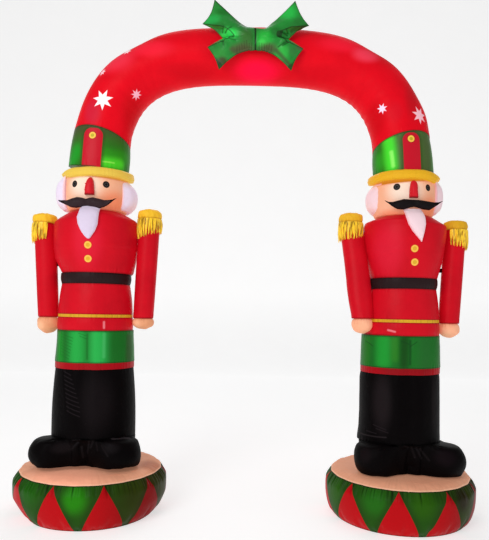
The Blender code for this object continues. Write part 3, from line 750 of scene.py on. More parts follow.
# One white cloth in three copies: the left hair's, a darker one as painted shade on the left beard, and a
# pinker one as painted light on the right hair and beard.
WHITE = PaintedLightSatin(
    "white_lamp_satin", "e4d8ec", "e0c8d8", glow=0.26, roughness=0.5, seam="f0c2ca", seam_reach=0.012)
SHADED_BEARD_WHITE = PaintedLightSatin(
    "white_lamp_satin", "d2c6dc", "cdb9cd", glow=0.24, roughness=0.5, seam="d8b4c4", seam_reach=0.006)
PINK_WHITE = PaintedLightSatin(
    "white_lamp_satin", "edd3da", "eac2c8", glow=0.24, roughness=0.5, seam="e89ca6", seam_reach=0.016)
TAN = PaintedLightSatin(
    "tan_satin", "dc9c7c", "cc8a6c", glow=0.28, roughness=0.55, seam="f4c4a4", gather=0.9, gather_reach=0.08,
    gather_pitch=0.014, painted_fold_shade=0.12)


# ---------------------------------------------------------------- cloth working


def switch(mode: str, mesh_action: str = "") -> None:
    """Changes the active object's mode.

    Args:
        mode: the new mode.
        mesh_action: what is done with the mesh's selection then, if anything.
    """
    bpy.ops.object.mode_set(mode=mode)
    if mesh_action:
        bpy.ops.mesh.select_all(action=mesh_action)


@dataclass(frozen=True)
class Blow:
    """How hard the cloth solver blows a panel up."""

    spare: float = 0.06
    most: float = 0.008
    pressure: float = 4.0
    steps: int = 20


class Panel:
    """One sewn panel, worked from a copy of its solid."""

    merge: float = 1e-5
    half_crisp: float = 0.6
    front_strip: float = 0.034
    bins: int = 36

    def __init__(self, node: str, rim_angle: float = 45.0, firm_angle: float = 90.0) -> None:
        """Copies the solid, merges its loose triangles to quads and marks the sewn rims.

        Args:
            node: name of the solid.
            rim_angle: faces that meet at more than this many degrees meet in a seam.
            firm_angle: past this angle an edge that is no seam stays half crisp.
        """
        self.node = node
        mesh = frame["nodes"][node].data.copy()
        mesh.materials.clear()
        self.piece = bpy.data.objects.new(f"{node}_cloth", mesh)
        bpy.context.scene.collection.objects.link(self.piece)
        self.take_up()
        switch("EDIT")
        bpy.ops.mesh.customdata_custom_splitnormals_clear()
        bpy.ops.mesh.select_all(action="SELECT")
        bpy.ops.mesh.remove_doubles(threshold=self.merge)
        bpy.ops.mesh.tris_convert_to_quads(
            face_threshold=math.radians(40.0), shape_threshold=math.radians(180.0))
        switch("OBJECT")
        self.mark_rims(math.radians(rim_angle), math.radians(firm_angle))
        self.tighten()

    def tighten(self, rounds: int = 4) -> None:
        """Draws the corners out so that the smooth skin runs through the solid's own corners.

        Args:
            rounds: how often the corners are corrected.
        """
        target = self.points()
        modifier = self.piece.modifiers.new("finer", "SUBSURF")
        modifier.levels = modifier.render_levels = 2
        for _ in range(rounds):
            done = self.piece.evaluated_get(bpy.context.evaluated_depsgraph_get())
            self.move(self.points() + target - self.read(done.data.vertices, "co")[:len(target)])
        self.piece.modifiers.remove(modifier)

    def take_up(self) -> None:
        """Makes this piece the only selected one, and the active one."""
        bpy.ops.object.select_all(action="DESELECT")
        self.piece.select_set(True)
        bpy.context.view_layer.objects.active = self.piece

    def mark_rims(self, angle: float, firm: float) -> None:
        """Creases the seams and puts their points in the group that the solver holds.

        Args:
            angle: angle of a seam, in radians.
            firm: angle of a half crisp edge, in radians.
        """
        work = bmesh.new()
        work.from_mesh(self.piece.data)
        held = self.piece.vertex_groups.new(name="held")
        weight = work.verts.layers.deform.verify()
        crease = work.edges.layers.float.get("crease_edge") or work.edges.layers.float.new("crease_edge")
        for edge in work.edges:
            edge.smooth = True
            if len(edge.link_faces) == 2 and edge.calc_face_angle(0.0) > angle:
                edge[crease] = 1.0
                for vert in edge.verts:
                    vert[weight][held.index] = 1.0
            elif len(edge.link_faces) == 2 and edge.calc_face_angle(0.0) > firm:
                edge[crease] = self.half_crisp
        work.to_mesh(self.piece.data)
        work.free()

    def subdivide(self, levels: int) -> None:
        """Adds and applies a subdivision surface.

        Args:
            levels: how often each face is cut in four.
        """
        self.take_up()
        modifier = self.piece.modifiers.new("finer", "SUBSURF")
        modifier.levels = modifier.render_levels = levels
        bpy.ops.object.modifier_apply(modifier=modifier.name)

    def puff(self, blow: Blow) -> None:
        """Makes the piece finer, blows it up, and makes it finer again.

        Args:
            blow: how hard.
        """
        self.subdivide(2)
        self.blow(blow)
        self.subdivide(1)

    @staticmethod
    def read(items: bpy.types.bpy_prop_collection, name: str) -> np.ndarray:
        """Reads a vector of each item of a mesh.

        Args:
            items: points or normals.
            name: the vector's name.

        Returns:
            The vectors, one row each.
        """
        flat = np.zeros(len(items) * 3, np.float32)
        items.foreach_get(name, flat)
        return flat.reshape(-1, 3).astype(float)

    def points(self) -> np.ndarray:
        """Coordinates of all points, one row each."""
        return self.read(self.piece.data.vertices, "co")

    def normals(self) -> np.ndarray:
        """Normals of all points, one row each."""
        return self.read(self.piece.data.vertex_normals, "vector")

    def spot(self, x: float, y: float) -> Vector:
        """Point under a pixel of the photograph."""
        return CAMERA.touch(self.piece, x, y)[0]

    def spots(self, pairs: Iterable[tuple[Pixel, Pixel]]) -> tuple[list[Vector], list[Vector]]:
        """Points under the first and under the second pixel of each pair."""
        pairs = list(pairs)
        return [self.spot(*a) for a, _ in pairs], [self.spot(*b) for _, b in pairs]

    def glow(self, x: float, y: float, wide: float, tall: float, colour: str, share: float = 1.0) -> Glow:
        """Patch of painted light or painted shade centred under a pixel.

        Args:
            x: pixel from the left.
            y: pixel from the top.
            wide: reach to each side, in pixels.
            tall: reach up and down, in pixels.
            colour: hex colour.
            share: strength in the middle.

        Returns:
            The mark.
        """
        reach = wide * CAMERA.pixel, max(wide, tall) * CAMERA.pixel, tall * CAMERA.pixel
        return Glow(self.spot(x, y), reach, colour, share)

    def streak(self, start: Pixel, end: Pixel, wide: float, colour: str, share: float) -> Streak:
        """Streak between two pixels.

        Args:
            start: one end.
            end: the other end.
            wide: half width, in pixels.
            colour: hex colour.
            share: strength along its middle.

        Returns:
            The mark.
        """
        return Streak(self.spot(*start), self.spot(*end), wide * CAMERA.pixel, colour, share)

    def move(self, points: np.ndarray) -> None:
        """Writes new coordinates.

        Args:
            points: one row each.
        """
        self.piece.data.vertices.foreach_set("co", points.astype(np.float32).ravel())
        self.piece.data.update()
        self.piece.update_tag()

    def edges(self, along: int, across: int, bins: int = bins) -> tuple[np.ndarray, ...]:
        """Outline of the piece, measured in slices.

        Args:
            along: axis that the slices follow each other on.
            across: axis that is measured in each slice.
            bins: number of slices.

        Returns:
            Middle of each slice, its lowest and highest reach, its middle on the Y axis and half its depth.
            Heights are measured on the front alone, as the camera sees it.
        """
        points = self.points()
        marks = np.linspace(points[:, along].min(), points[:, along].max(), bins + 1)
        slot = np.clip(np.digitize(points[:, along], marks) - 1, 0, bins - 1)
        slices = [points[slot == n] for n in range(bins) if (slot == n).sum() > 3]
        if across == 2:
            slices = [part[part[:, 1] < part[:, 1].min() + self.front_strip] for part in slices]
        place = np.array([part[:, along].mean() for part in slices])
        low = np.array([part[:, across].min() for part in slices])
        high = np.array([part[:, across].max() for part in slices])
        middle = np.array([(part[:, 1].min() + part[:, 1].max()) / 2.0 for part in slices])
        depth = np.array([np.ptp(part[:, 1]) / 2.0 for part in slices])
        return place, low, high, middle, depth

    def tailor(self, rows: Rows, bins: int = bins) -> None:
        """Widens or narrows an upright piece until its sides stand where the photograph shows them.

        Args:
            rows: pixel height, and the pixels of the left and the right side at that height.
            bins: as edges takes it; few for a low piece.
        """
        place, low, high, middle, deep = self.edges(2, 0, bins)
        eye = CAMERA.matrix().translation
        away = float(np.median(middle)) - eye.y
        sized = []
        for y, left, right in rows:
            (side_a, rise), (side_b, _) = CAMERA.slopes(left, y), CAMERA.slopes(right, y)
            height = eye.z + rise * away
            depth = float(np.interp(height, place, deep))
            half = (side_b - side_a) * away / 2.0
            for _ in range(8):
                reach = math.hypot(half, side_a * depth) + math.hypot(half, side_b * depth)
                half *= (side_b - side_a) * away / reach
            centre = side_a * away + math.hypot(half, side_a * depth)
            sized.append((height, centre - half, centre + half))
        heights, lefts, rights = np.array(sorted(sized)).T
        points = self.points()
        old_a, old_b = (np.interp(points[:, 2], place, side) for side in (low, high))
        new_a, new_b = (np.interp(points[:, 2], heights, side) for side in (lefts, rights))
        points[:, 0] = new_a + (points[:, 0] - old_a) * (new_b - new_a) / np.maximum(old_b - old_a, 1e-4)
        self.move(points)

    def trim(self, columns: Rows) -> None:
        """Raises or lowers the upper and lower edges of a flat piece to where the photograph shows them.

        Args:
            columns: pixel column, and the pixels of the upper and the lower edge there.
        """
        place, low, high, middle, depth = self.edges(0, 2)
        deep = middle - depth
        eye = CAMERA.matrix().translation
        sized = []
        for x, top, bottom in columns:
            (side, rise), (_, fall) = CAMERA.slopes(x, top), CAMERA.slopes(x, bottom)
            away = -eye.y
            for _ in range(3):
                away = -eye.y + float(np.interp(side * away, place, deep))
            sized.append((side * away, eye.z + fall * away, eye.z + rise * away))
        where, lows, highs = np.array(sorted(sized)).T
        points = self.points()
        old_a, old_b = (np.interp(points[:, 0], place, edge) for edge in (low, high))
        new_a, new_b = (np.interp(points[:, 0], where, edge) for edge in (lows, highs))
        points[:, 2] = new_a + (points[:, 2] - old_a) * (new_b - new_a) / np.maximum(old_b - old_a, 2e-3)
        self.move(points)

    def rim_points(self) -> np.ndarray:
        """Numbers of the points that lie on seams."""
        held = self.piece.vertex_groups["held"].index
        marked = [v.index for v in self.piece.data.vertices
                  if any(g.group == held and g.weight > 0.999 for g in v.groups)]
        return np.array(marked, int)

    def blow(self, blow: Blow) -> None:
        """Blows the panel up with the cloth solver, held along its seams.

        Args:
            blow: how much spare cloth it has and how far a point may move.
        """
        scene = bpy.context.scene
        before = self.points()
        modifier = self.piece.modifiers.new("air", "CLOTH")
        cloth = modifier.settings
        for name, value in (("quality", 6), ("mass", 0.15), ("tension_stiffness", 15.0),
                            ("compression_stiffness", 15.0), ("shear_stiffness", 5.0),
                            ("bending_stiffness", 0.5),
                            ("use_pressure", True), ("uniform_pressure_force", blow.pressure),
                            ("vertex_group_mass", "held"), ("pin_stiffness", 1.0),
                            ("shrink_min", -blow.spare)):
            setattr(cloth, name, value)
        cloth.effector_weights.gravity = 0.0
        modifier.collision_settings.use_collision = False
        modifier.point_cache.frame_start = 1
        modifier.point_cache.frame_end = blow.steps
        for step in range(1, blow.steps + 1):
            scene.frame_set(step)
        done = self.piece.evaluated_get(bpy.context.evaluated_depsgraph_get())
        way = self.read(done.data.vertices, "co") - before
        self.piece.modifiers.remove(modifier)
        scene.frame_set(1)
        length = np.linalg.norm(way, axis=1)
        self.move(before + way * np.minimum(1.0, blow.most / np.maximum(length, 1e-9))[:, None])

    def press(self, change: Change) -> None:
        """Moves every point along its normal.

        Args:
            change: gives the outward move from coordinates and normals.
        """
        points, normals = self.points(), self.normals()
        self.move(points + normals * change(points, normals)[:, None])

    def chart(self, axis: Optional[Callable[[np.ndarray], np.ndarray]]) -> None:
        """Stores on each point how far it is from a seam and where it lies round the piece.

        Args:
            axis: gives, from the coordinates, the place round a bent piece; without it the piece
                is taken as upright.
        """
        points = self.points()
        rim = self.rim_points()
        far = np.full(len(points), 1.0)
        if len(rim):
            tree = kdtree.KDTree(len(rim))
            for n, index in enumerate(rim):
                tree.insert(points[index], n)
            tree.balance()
            far = np.array([tree.find(p)[2] for p in points])
        middle = (points.min(0) + points.max(0)) / 2.0
        if axis:
            way = axis(points)
        else:
            across = (points - middle) * (1.0, 1.0, 0.0)
            size = np.linalg.norm(across, axis=1)
            way = across / np.maximum(size, 1e-6)[:, None] * float(np.median(size))
        mesh = self.piece.data
        mesh.attributes.new("from_seam", "FLOAT", "POINT").data.foreach_set("value", far.astype(np.float32))
        mesh.attributes.new("round_way", "FLOAT_VECTOR", "POINT").data.foreach_set(
            "vector", way.astype(np.float32).ravel())

    def hand_over(self, cloth: PaintedLightSatin, marks: Iterable[Mark] = (),
                  sharp: float = 50.0, axis: Optional[Callable[[np.ndarray], np.ndarray]] = None) -> None:
        """Shades the piece, gives it its cloth, hangs it on the root body and hides the solid that it stands
        for.

        Args:
            cloth: its finish.
            marks: patches of painted light and shade, and prints, in the order in which they lie on each
                other.
            sharp: angle in degrees past which an edge stays crisp.
            axis: as chart takes it.
        """
        self.chart(axis)
        self.take_up()
        bpy.ops.object.shade_smooth_by_angle(angle=math.radians(sharp), keep_sharp_edges=False)
        self.piece.vertex_groups.clear()
        self.piece.data.materials.append(cloth.material(self.node, marks))
        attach(self.piece, "root")
        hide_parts(self.node)
        LOG.info("%s: %d points", self.piece.name, len(self.piece.data.vertices))


@dataclass(frozen=True)
class Ripple:
    """Uneven folds round an upright piece: a few waves of unlike length, always the same ones."""

    folds: int
    depth: float
    seed: int
    waves: int = 7

    def at(self, angle: np.ndarray, run: np.ndarray) -> np.ndarray:
        """Depth of the folds.

        Args:
            angle: place round the piece, in radians.
            run: place along the folds, in metres.

        Returns:
            The outward move, in metres.
        """
        pick = np.random.default_rng(self.seed)
        total = np.zeros_like(angle)
        for _ in range(self.waves):
            count = round(self.folds * pick.uniform(0.6, 1.4))
            total += np.sin(count * angle + pick.uniform(0.0, math.tau) + run * pick.uniform(-9.0, 9.0))
        return self.depth * total / math.sqrt(self.waves)


def gathered(height: float, reach: float, ripple: Ripple) -> Change:
    """Folds that run from a level seam and die out.

    Args:
        height: height of the seam.
        reach: length over which the folds fade.
        ripple: the folds.

    Returns:
        A change that Panel.press takes.
    """
    def change(points: np.ndarray, normals: np.ndarray) -> np.ndarray:
        """Outward move of each point.

        Args:
            points: coordinates, one row each.
            normals: normals, one row each.

        Returns:
            The move, in metres.
        """
        middle = (points.min(0) + points.max(0)) / 2.0
        angle = np.arctan2(points[:, 1] - middle[1], points[:, 0] - middle[0])
        run = np.abs(points[:, 2] - height)
        fade = np.exp(-(run / reach) ** 2) * np.clip(run / 0.006, 0.0, 1.0)
        level = 1.0 - np.abs(normals[:, 2]) ** 4
        return ripple.at(angle, run) * fade * level
    return change


PLEAT_FADE, RIDGE, RIDGE_OFF, DENT_WAVES = 0.75, 0.35, 2.2, 9


def pleated(starts: Sequence[Vector], ends: Sequence[Vector], width: float, depth: float) -> Change:
    """Straight pleats pressed into a face.

    Args:
        starts: where each pleat is deepest.
        ends: where each one dies out.
        width: half width of a pleat.
        depth: how deep it is pressed.

    Returns:
        A change that Panel.press takes.
    """
    def change(points: np.ndarray, normals: np.ndarray) -> np.ndarray:
        """Outward move of each point.

        Args:
            points: coordinates, one row each.
            normals: normals, one row each.

        Returns:
            The move, in metres.
        """
        total = np.zeros(len(points))
        for start, end in zip(starts, ends):
            a, b = np.array(start), np.array(end)
            share = np.clip(((points - a) @ (b - a)) / max(float((b - a) @ (b - a)), 1e-9), 0.0, 1.0)
            away = np.linalg.norm(points - (a + share[:, None] * (b - a)), axis=1)
            total -= depth * np.exp(-(away / width) ** 2) * (1.0 - PLEAT_FADE * share)
            total += RIDGE * depth * np.exp(-((away - RIDGE_OFF * width) / width) ** 2) * (1.0 - share)
        return total
    return change


def crumpled(size: float, depth: float, seed: int) -> Change:
    """Small uneven dents all over, as in a cushion with too much cloth.

    Args:
        size: usual width of a dent.
        depth: how deep they go.
        seed: start of the unevenness.

    Returns:
        A change that Panel.press takes.
    """
    def change(points: np.ndarray, normals: np.ndarray) -> np.ndarray:
        """Outward move of each point.

        Args:
            points: coordinates, one row each.
            normals: normals, one row each.

        Returns:
            The move, in metres.
        """
        pick = np.random.default_rng(seed)
        total = np.zeros(len(points))
        for _ in range(DENT_WAVES):
            way = pick.normal(size=3)
            total += np.sin(points @ (way / np.linalg.norm(way)) * math.tau / (size * pick.uniform(0.7, 1.6))
                            + pick.uniform(0.0, math.tau))
        return depth * total / math.sqrt(DENT_WAVES)
    return change


# ---------------------------------------------------------------- the figure's parts


@dataclass
class Drum:
    """Drum-shaped base with a padded head."""

    side: Side
    axis_x: float = 0.940
    radius: float = 0.44
    rim: float = 0.412
    top: float = 0.254
    wall_in: float = 0.011
    low_reach: float = 0.11
    low_in: tuple[float, float] = (0.070, 0.026)
    pitch_count: int = 9
    flat_tip: float = math.radians(2.9)
    first_turn: dict = field(default_factory=lambda: {Side.LEFT: 23.7, Side.RIGHT: -15.0})
    bulge: dict = field(default_factory=lambda: {Side.LEFT: 0.020, Side.RIGHT: 0.0})
    # pixel and colour of each patch of painted light and shade on the green wall
    green_light_and_shade: dict = field(
        default_factory=lambda: {Side.LEFT: ((28, 490, "1e5a0c"), (74, 500, "26800f"), (126, 498, "1e440a")),
        Side.RIGHT: ((335, 492, "2a5814"), (374, 502, "226414"), (424, 506, "28580a"),
        (463.0, 500.0, "12260a"))})
    # pixel, reach, colour and strength of each patch of painted light and shade on the tan head
    tan_light_and_shade: dict = field(default_factory=lambda: {
        Side.LEFT: ((62, 477, 60, 30, "ffb090", 0.9), (152, 465, 22, 26, "b4745a", 0.9)),
        Side.RIGHT: ()})

    def spread(self, panel: Panel) -> None:
        """Lets the outer half of the drum stand out a little, as the left one does in the photograph.

        Args:
            panel: wall or head of the drum.
        """
        points = panel.points()
        away = np.clip(
            (points[:, 0] - self.side.value * self.axis_x) * self.side.value / self.radius, 0.0, 1.0)
        points[:, 0] += self.side.value * self.bulge[self.side] * away ** 2
        if self.side is Side.LEFT:
            low = np.clip(1.0 - points[:, 2] / self.low_reach, 0.0, 1.0)
            off = np.clip((points[:, 0] + self.axis_x) / self.radius, -1.0, 1.0)
            points[:, 0] -= np.where(off < 0.0, *self.low_in) * low * off ** 3
        panel.move(points)

    def build_wall(self) -> None:
        """Side of the drum, with its gathered seams and its triangles."""
        panel = Panel(f"{self.side.label}_drum_wall")
        panel.subdivide(2)
        panel.press(lambda points, normals: -self.wall_in * np.clip(1.0 - np.abs(normals[:, 2]), 0.0, 1.0))
        panel.blow(Blow(0.08, 0.009))
        panel.subdivide(1)
        self.spread(panel)
        panel.press(gathered(self.top, 0.050, Ripple(84, 0.0030, 11)))
        panel.press(gathered(0.0, 0.040, Ripple(70, 0.0012, 12)))
        axis = Vector((self.side.value * self.axis_x, 0.0, 0.0))
        # Patches of painted light and shade on the green, then the triangles with painted shade along their
        # edges, and painted shade over the drum's right side.
        marks = [panel.glow(x, y, 17.0, 20.0, colour) for x, y, colour in self.green_light_and_shade[self.side]]
        marks += [
            Zigzag(axis, self.top - 0.002, math.radians(self.first_turn[self.side]), self.pitch_count,
            self.flat_tip, "b60a12", "1f3410"), Glow(axis + Vector((0.44, -0.10, 0.10)), (0.62, 0.6, 0.6),
            "340804", 0.60)]
        panel.hand_over(DRUM_GREEN, marks)

    def build_head(self) -> None:
        """Padded top of the drum, drawn in round its rim."""
        panel = Panel(f"{self.side.label}_drum_head", 30.0)
        panel.puff(Blow(0.02, 0.003))
        self.spread(panel)
        panel.press(gathered_disc(self.side.value * self.axis_x, self.rim, 0.08, Ripple(100, 0.0012, 21)))
        # Painted light and shade on the tan head.
        panel.hand_over(TAN, [panel.glow(*row) for row in self.tan_light_and_shade[self.side]])

    def build(self) -> None:
        """Wall and head."""
        self.build_wall()
        self.build_head()


def rings(centre: Vector, rows: Iterable[tuple[float, str]]) -> list[Mark]:
    """Discs that lie on each other.

    Args:
        centre: their middle.
        rows: radius and hex colour of each, the lowest first.

    Returns:
        The marks.
    """
    return [Disc(centre, radius, colour) for radius, colour in rows]


def gathered_disc(axis_x: float, rim: float, reach: float, ripple: Ripple) -> Change:
    """Folds that run in from the rim of a round cushion.

    Args:
        axis_x: where its middle lies.
        rim: its radius.
        reach: length over which the folds fade.
        ripple: the folds.

    Returns:
        A change that Panel.press takes.
    """
    def change(points: np.ndarray, normals: np.ndarray) -> np.ndarray:
        """Outward move of each point.

        Args:
            points: coordinates, one row each.
            normals: normals, one row each.

        Returns:
            The move, in metres.
        """
        across, deep = points[:, 0] - axis_x, points[:, 1]
        size = np.hypot(across, deep)
        run = np.maximum(rim - size, 0.0)
        fade = np.exp(-(run / reach) ** 2) * (normals[:, 2] > 0.2)
        return ripple.at(np.arctan2(deep, across), run) * fade
    return change


@dataclass
class Boots:
    """Shoes, boot shafts and their red cuff, sewn as one pair."""

    side: Side
    soles: dict = field(default_factory=lambda: {Side.LEFT: (0.026, 0.022), Side.RIGHT: (0.009, 0.026)})

    def build_shoes(self) -> None:
        """Both shoes in one bag, drawn in at the cleft between the toes."""
        panel = Panel(f"{self.side.label}_shoes", 50.0)
        panel.subdivide(2)
        panel.press(lambda points, normals: np.full(len(points), -0.003))
        panel.blow(Blow(0.06, 0.005))
        panel.subdivide(1)
        self.shape_soles(panel)
        folds = {
            Side.LEFT: (((87.1, 440.5), (86, 452)), ((91.3, 440), (89, 447.5)), ((79.7, 447), (81, 458)),
            ((100, 446), (106, 456)), ((94.5, 442), (96, 450)), ((76, 442.5), (70, 449))),
            Side.RIGHT: (((402, 445), (406.5, 447.5)), ((409.4, 447), (413, 457)),
            ((414.5, 447.5), (420, 459)), ((418.5, 449), (427, 460))),}[self.side]
        starts, ends = panel.spots(folds)
        panel.press(pleated(starts, ends, 0.009, 0.0050))
        beside = Vector((0.010, 0.0, 0.0))
        # Painted highlights beside the pleats, lighter than the black cloth.
        marks = [Streak(a + beside, b + beside, 0.011, "1c181a", 0.7) for a, b in zip(starts, ends)]
        # Patches of painted light on the black, and on the left pair painted highlights along the upper edge.
        if self.side is Side.LEFT:
            marks += [panel.glow(62, 448, 16, 8, "1a1517", 0.9), panel.glow(110, 448, 14, 8, "161214", 0.9),
                      Streak(panel.spot(111.3, 438.6), panel.spot(130.0, 438.2), 0.008, "3a3437", 0.8),
                      Streak(panel.spot(72.0, 438.6), panel.spot(80.0, 439.6), 0.007, "2c2628", 0.8)]
        else:
            marks += [panel.glow(365, 455, 9, 12, "181214", 0.9), panel.glow(446, 458, 16, 12, "160e12", 0.9)]
        panel.hand_over(BLACK, marks)

    def shape_soles(self, panel: Panel) -> None:
        """Lifts the toes' lower edge and slims the shoe that stands on the left.

        Args:
            panel: the shoes.
        """
        lift, slim = self.soles[self.side]
        points = panel.points()
        floor, outer = points[:, 2].min(), points[:, 0].min()
        front = np.clip((-0.06 - points[:, 1]) / 0.14, 0.0, 1.0)
        points[:, 2] += lift * front * np.clip(1.0 - (points[:, 2] - floor) / 0.09, 0.0, 1.0)
        low = np.clip(1.0 - (points[:, 2] - floor) / 0.13, 0.0, 1.0)
        points[:, 0] += slim * (0.35 + 0.65 * low) * np.clip(1.0 - (points[:, 0] - outer) / 0.16, 0.0, 1.0)
        panel.move(points)

    def build_shaft(self) -> None:
        """Both shafts, with slanting creases at the outer front."""
        panel = Panel(f"{self.side.label}_boot_shaft")
        panel.subdivide(3)
        marks = []
        if self.side is Side.LEFT:
            creases = [((63.5 + 0.35 * n, 371.0 + 4.4 * n),
                        (70.5 + min(9.0, 1.3 * n), 375.2 + 4.5 * n + 0.12 * n)) for n in range(10)]
            # A patch of painted light on the black.
            marks.append(panel.glow(96, 402, 24, 44, "181315", 0.9))
        else:
            panel.tailor(
                ((371, 360.2, 439.5), (376, 359.3, 439.8), (410, 359, 439.7), (427.0, 358.2, 439.7),
                (436.0, 356.9, 439.9)), 12)
            creases = (((373, 424.5), (386, 430)), ((376, 428.5), (388, 433)), ((366, 430.5), (376, 433.5)))
            # Patches of painted light on the black.
            marks += [panel.glow(382, 402, 12, 44, "201a1c", 1.0), panel.glow(434, 402, 5, 44, "1a1516", 0.8)]
        starts, ends = panel.spots(creases)
        panel.press(pleated(starts, ends, 0.006, 0.0030))
        # Painted highlights along the creases, lighter than the black cloth.
        marks += [Streak(a, b, 0.0052, "251f22", 0.75) for a, b in zip(starts, ends)]
        # A painted highlight along the lower edge of the right shafts.
        if self.side is Side.RIGHT:
            marks.append(Streak(panel.spot(360.5, 433.0), panel.spot(386.0, 437.5), 0.007, "2b2527", 0.9))
        panel.hand_over(BLACK, marks)

    def build_cuff(self) -> None:
        """Narrow red band on top of the shafts."""
        panel = Panel(f"{self.side.label}_boot_cuff")
        panel.subdivide(3)
        panel.tailor({Side.LEFT: ((361.0, 55.1, 134.2), (368.0, 54.9, 134.1)),
                      Side.RIGHT: ((366.0, 360.3, 440.0), (371.5, 360.2, 439.7))}[self.side], 3)
        # Painted light on the left cuff, brightest at its left end; painted shade over the right cuff.
        if self.side is Side.LEFT:
            marks = [panel.glow(88.0, 365.0, 24, 12, "b81e22", 0.85),
                     panel.glow(60.0, 364.0, 9, 12, "d62e2c", 0.8)]
        else:
            marks = [panel.glow(x, 369.0, 26, 12, "7c1419", 0.9) for x in (396.0, 420.0)]
        panel.hand_over(RED, marks)

    def build(self) -> None:
        """Shoes, shafts and cuff."""
        self.build_shoes()
        self.build_shaft()
        self.build_cuff()


@dataclass
class Uniform:
    """Trousers and coat, one panel above the other."""

    side: Side
    collar: float = 1.436
    draw_in: float = 0.0045

    def build_trousers(self) -> None:
        """Green panel with the crease that draws the legs in, and slanting tucks beside it."""
        panel = Panel(f"{self.side.label}_trousers")
        panel.subdivide(3)
        points = panel.points()
        share = (points[:, 2] - points[:, 2].min()) / np.ptp(points[:, 2])
        panel.tailor(
            {Side.LEFT: ((333, 56.4, 134.4), (345, 55.6, 134.9), (358, 54.6, 134.8)),
            Side.RIGHT: ((336, 360.6, 440.3), (345, 360, 440.9), (364, 359.8, 440.7)),}[self.side], 6)
        panel.press(lambda spots, normals: -self.draw_in * np.sin(math.pi * np.clip(share, 0.0, 1.0)))
        if self.side is Side.LEFT:
            tucks = tuple(
                ((61.5 - 0.12 * n, 333.5 + 2.9 * n), (73.0 - 0.6 * n, 338.2 + 3.0 * n)) for n in range(8))
            tucks += (((86.5, 336.0), (78.5, 333.2)), ((86.8, 339.2), (79.5, 336.0)))
            crease = ((87.2, 334.5), (87, 359))
            # Upright bands of painted light and painted shade; dark is the painted shade of the tucks and the
            # crease, and depth its strength.
            bands = (
                ((60.5, 336), (60, 359), 8.0, "168424", 0.9), ((76.5, 336), (76.2, 359), 15, "26a042", 1.0),
                ((97.8, 336), (97.5, 359), 15, "2aa84a", 1.0), ((104.2, 334), (103.8, 357), 2.6, "52bc6e",
                0.4), ((129.5, 337), (129, 358), 6.0, "2a4a20", 0.7))
            dark, depth = "166020", 0.6
        else:
            tucks = (((410, 347), (417, 342)), ((409.5, 344.5), (401, 341)), ((366, 341), (373, 346)))
            crease = ((410.4, 341), (410.2, 364))
            # As on the left: bands of painted light and shade, and the painted shade of the tucks and the
            # crease.
            bands = (
                ((366.5, 341), (365.5, 362), 7.0, "1e6c18", 0.8), ((383.7, 341), (383.2, 362), 12, "1e9030",
                1.0), ((395, 341), (395, 358), 7.0, "2c7c20", 0.7),
                ((425, 342), (424.5, 364), 15, "226428", 0.9), ((404.5, 341), (404, 364), 9.0, "174617",
                0.9))
            dark, depth = "14401a", 0.8
        # Painted light and painted shade in upright bands.
        marks = [panel.streak(*band) for band in bands]
        starts, ends = panel.spots(tucks)
        # Painted shade along the tucks and, below, along the crease.
        marks += [Streak(a, b, 0.0042, dark, depth) for a, b in zip(starts, ends)]
        top, low = (panel.spot(*end) for end in crease)
        marks.append(Streak(top, low, 0.0120, dark, 0.65))
        panel.press(pleated(starts, ends, 0.005, 0.0022))
        panel.press(pleated([top, low], [low, top], 0.009, 0.0022))
        panel.hand_over(TROUSER_GREEN, marks)

    def build_band(self, name: str, cloth: PaintedLightSatin, levels: int, shine: Rows = ()) -> None:
        """One plain panel of the coat.

        Args:
            name: what the node's name ends with.
            cloth: its finish.
            levels: how often it is subdivided.
            shine: painted highlights, as Panel.streak takes them.
        """
        panel = Panel(f"{self.side.label}_{name}")
        panel.subdivide(levels)
        panel.hand_over(cloth, [panel.streak(*row) for row in shine])

    def build_chest(self) -> None:
        """Coat from belt to collar, with its two buttons."""
        panel = Panel(f"{self.side.label}_coat_chest", 45.0, 16.0)
        panel.subdivide(3)
        panel.tailor(
            {Side.LEFT: ((213.5, 72, 124), (217, 65, 131), (220.5, 58.8, 137), (223.8, 54.6, 138.6),
            (230, 53.6, 138.8), (240, 53.4, 138.3), (250, 53.8, 137.6), (258.0, 55.0, 136.6),
            (265, 57.6, 135.4), (270, 60.4, 134), (274, 62.4, 132.9)),
            Side.RIGHT: ((216, 384, 427), (219.5, 374.5, 432.8), (223.4, 364.9, 440.5),
            (227.0, 363.6, 446.8), (235, 363.2, 446.6), (245.4, 363.8, 445.2), (256.7, 365.4, 443.4),
            (263.5, 366.6, 441.8), (271, 368.3, 439.6), (278.2, 369.7, 437.3)),}[self.side])
        panel.press(gathered(self.collar, 0.030, Ripple(60, 0.0012, 31)))
        (x, y), buttons = {
            Side.LEFT: ((87.0, 240.0), ((87.7, 244.8), (87.9, 258.6))),
            Side.RIGHT: ((388.0, 250.0), ((414.8, 248.5), (414.8, 262.1)))}[self.side]
        # A painted highlight down the front of the chest.
        marks = [panel.glow(x, y, 22, 40, "d81c34", 0.8)]
        for button in buttons:
            marks += rings(panel.spot(*button), ((0.0225, "ac0c14"), (0.0208, "f4bc50"), (0.0120, "d8a832")))
        panel.hand_over(RED, marks)

    def build(self) -> None:
        """Every panel from trousers to collar."""
        self.build_trousers()
        # A painted highlight on the coat's hem.
        shine = {Side.LEFT: ((104.0, 322.0), (104.0, 328.0)), Side.RIGHT: ((388.0, 330.1), (395.0, 331.8))}
        self.build_band("coat_hem", RED, 3, ((*shine[self.side], 1.6, "f09098", 0.7),))
        self.build_band("coat_trim", YELLOW, 2)
        self.build_band("coat_skirt", RED, 3)
        self.build_band("belt", BELT_BLACK, 2)
        self.build_chest()


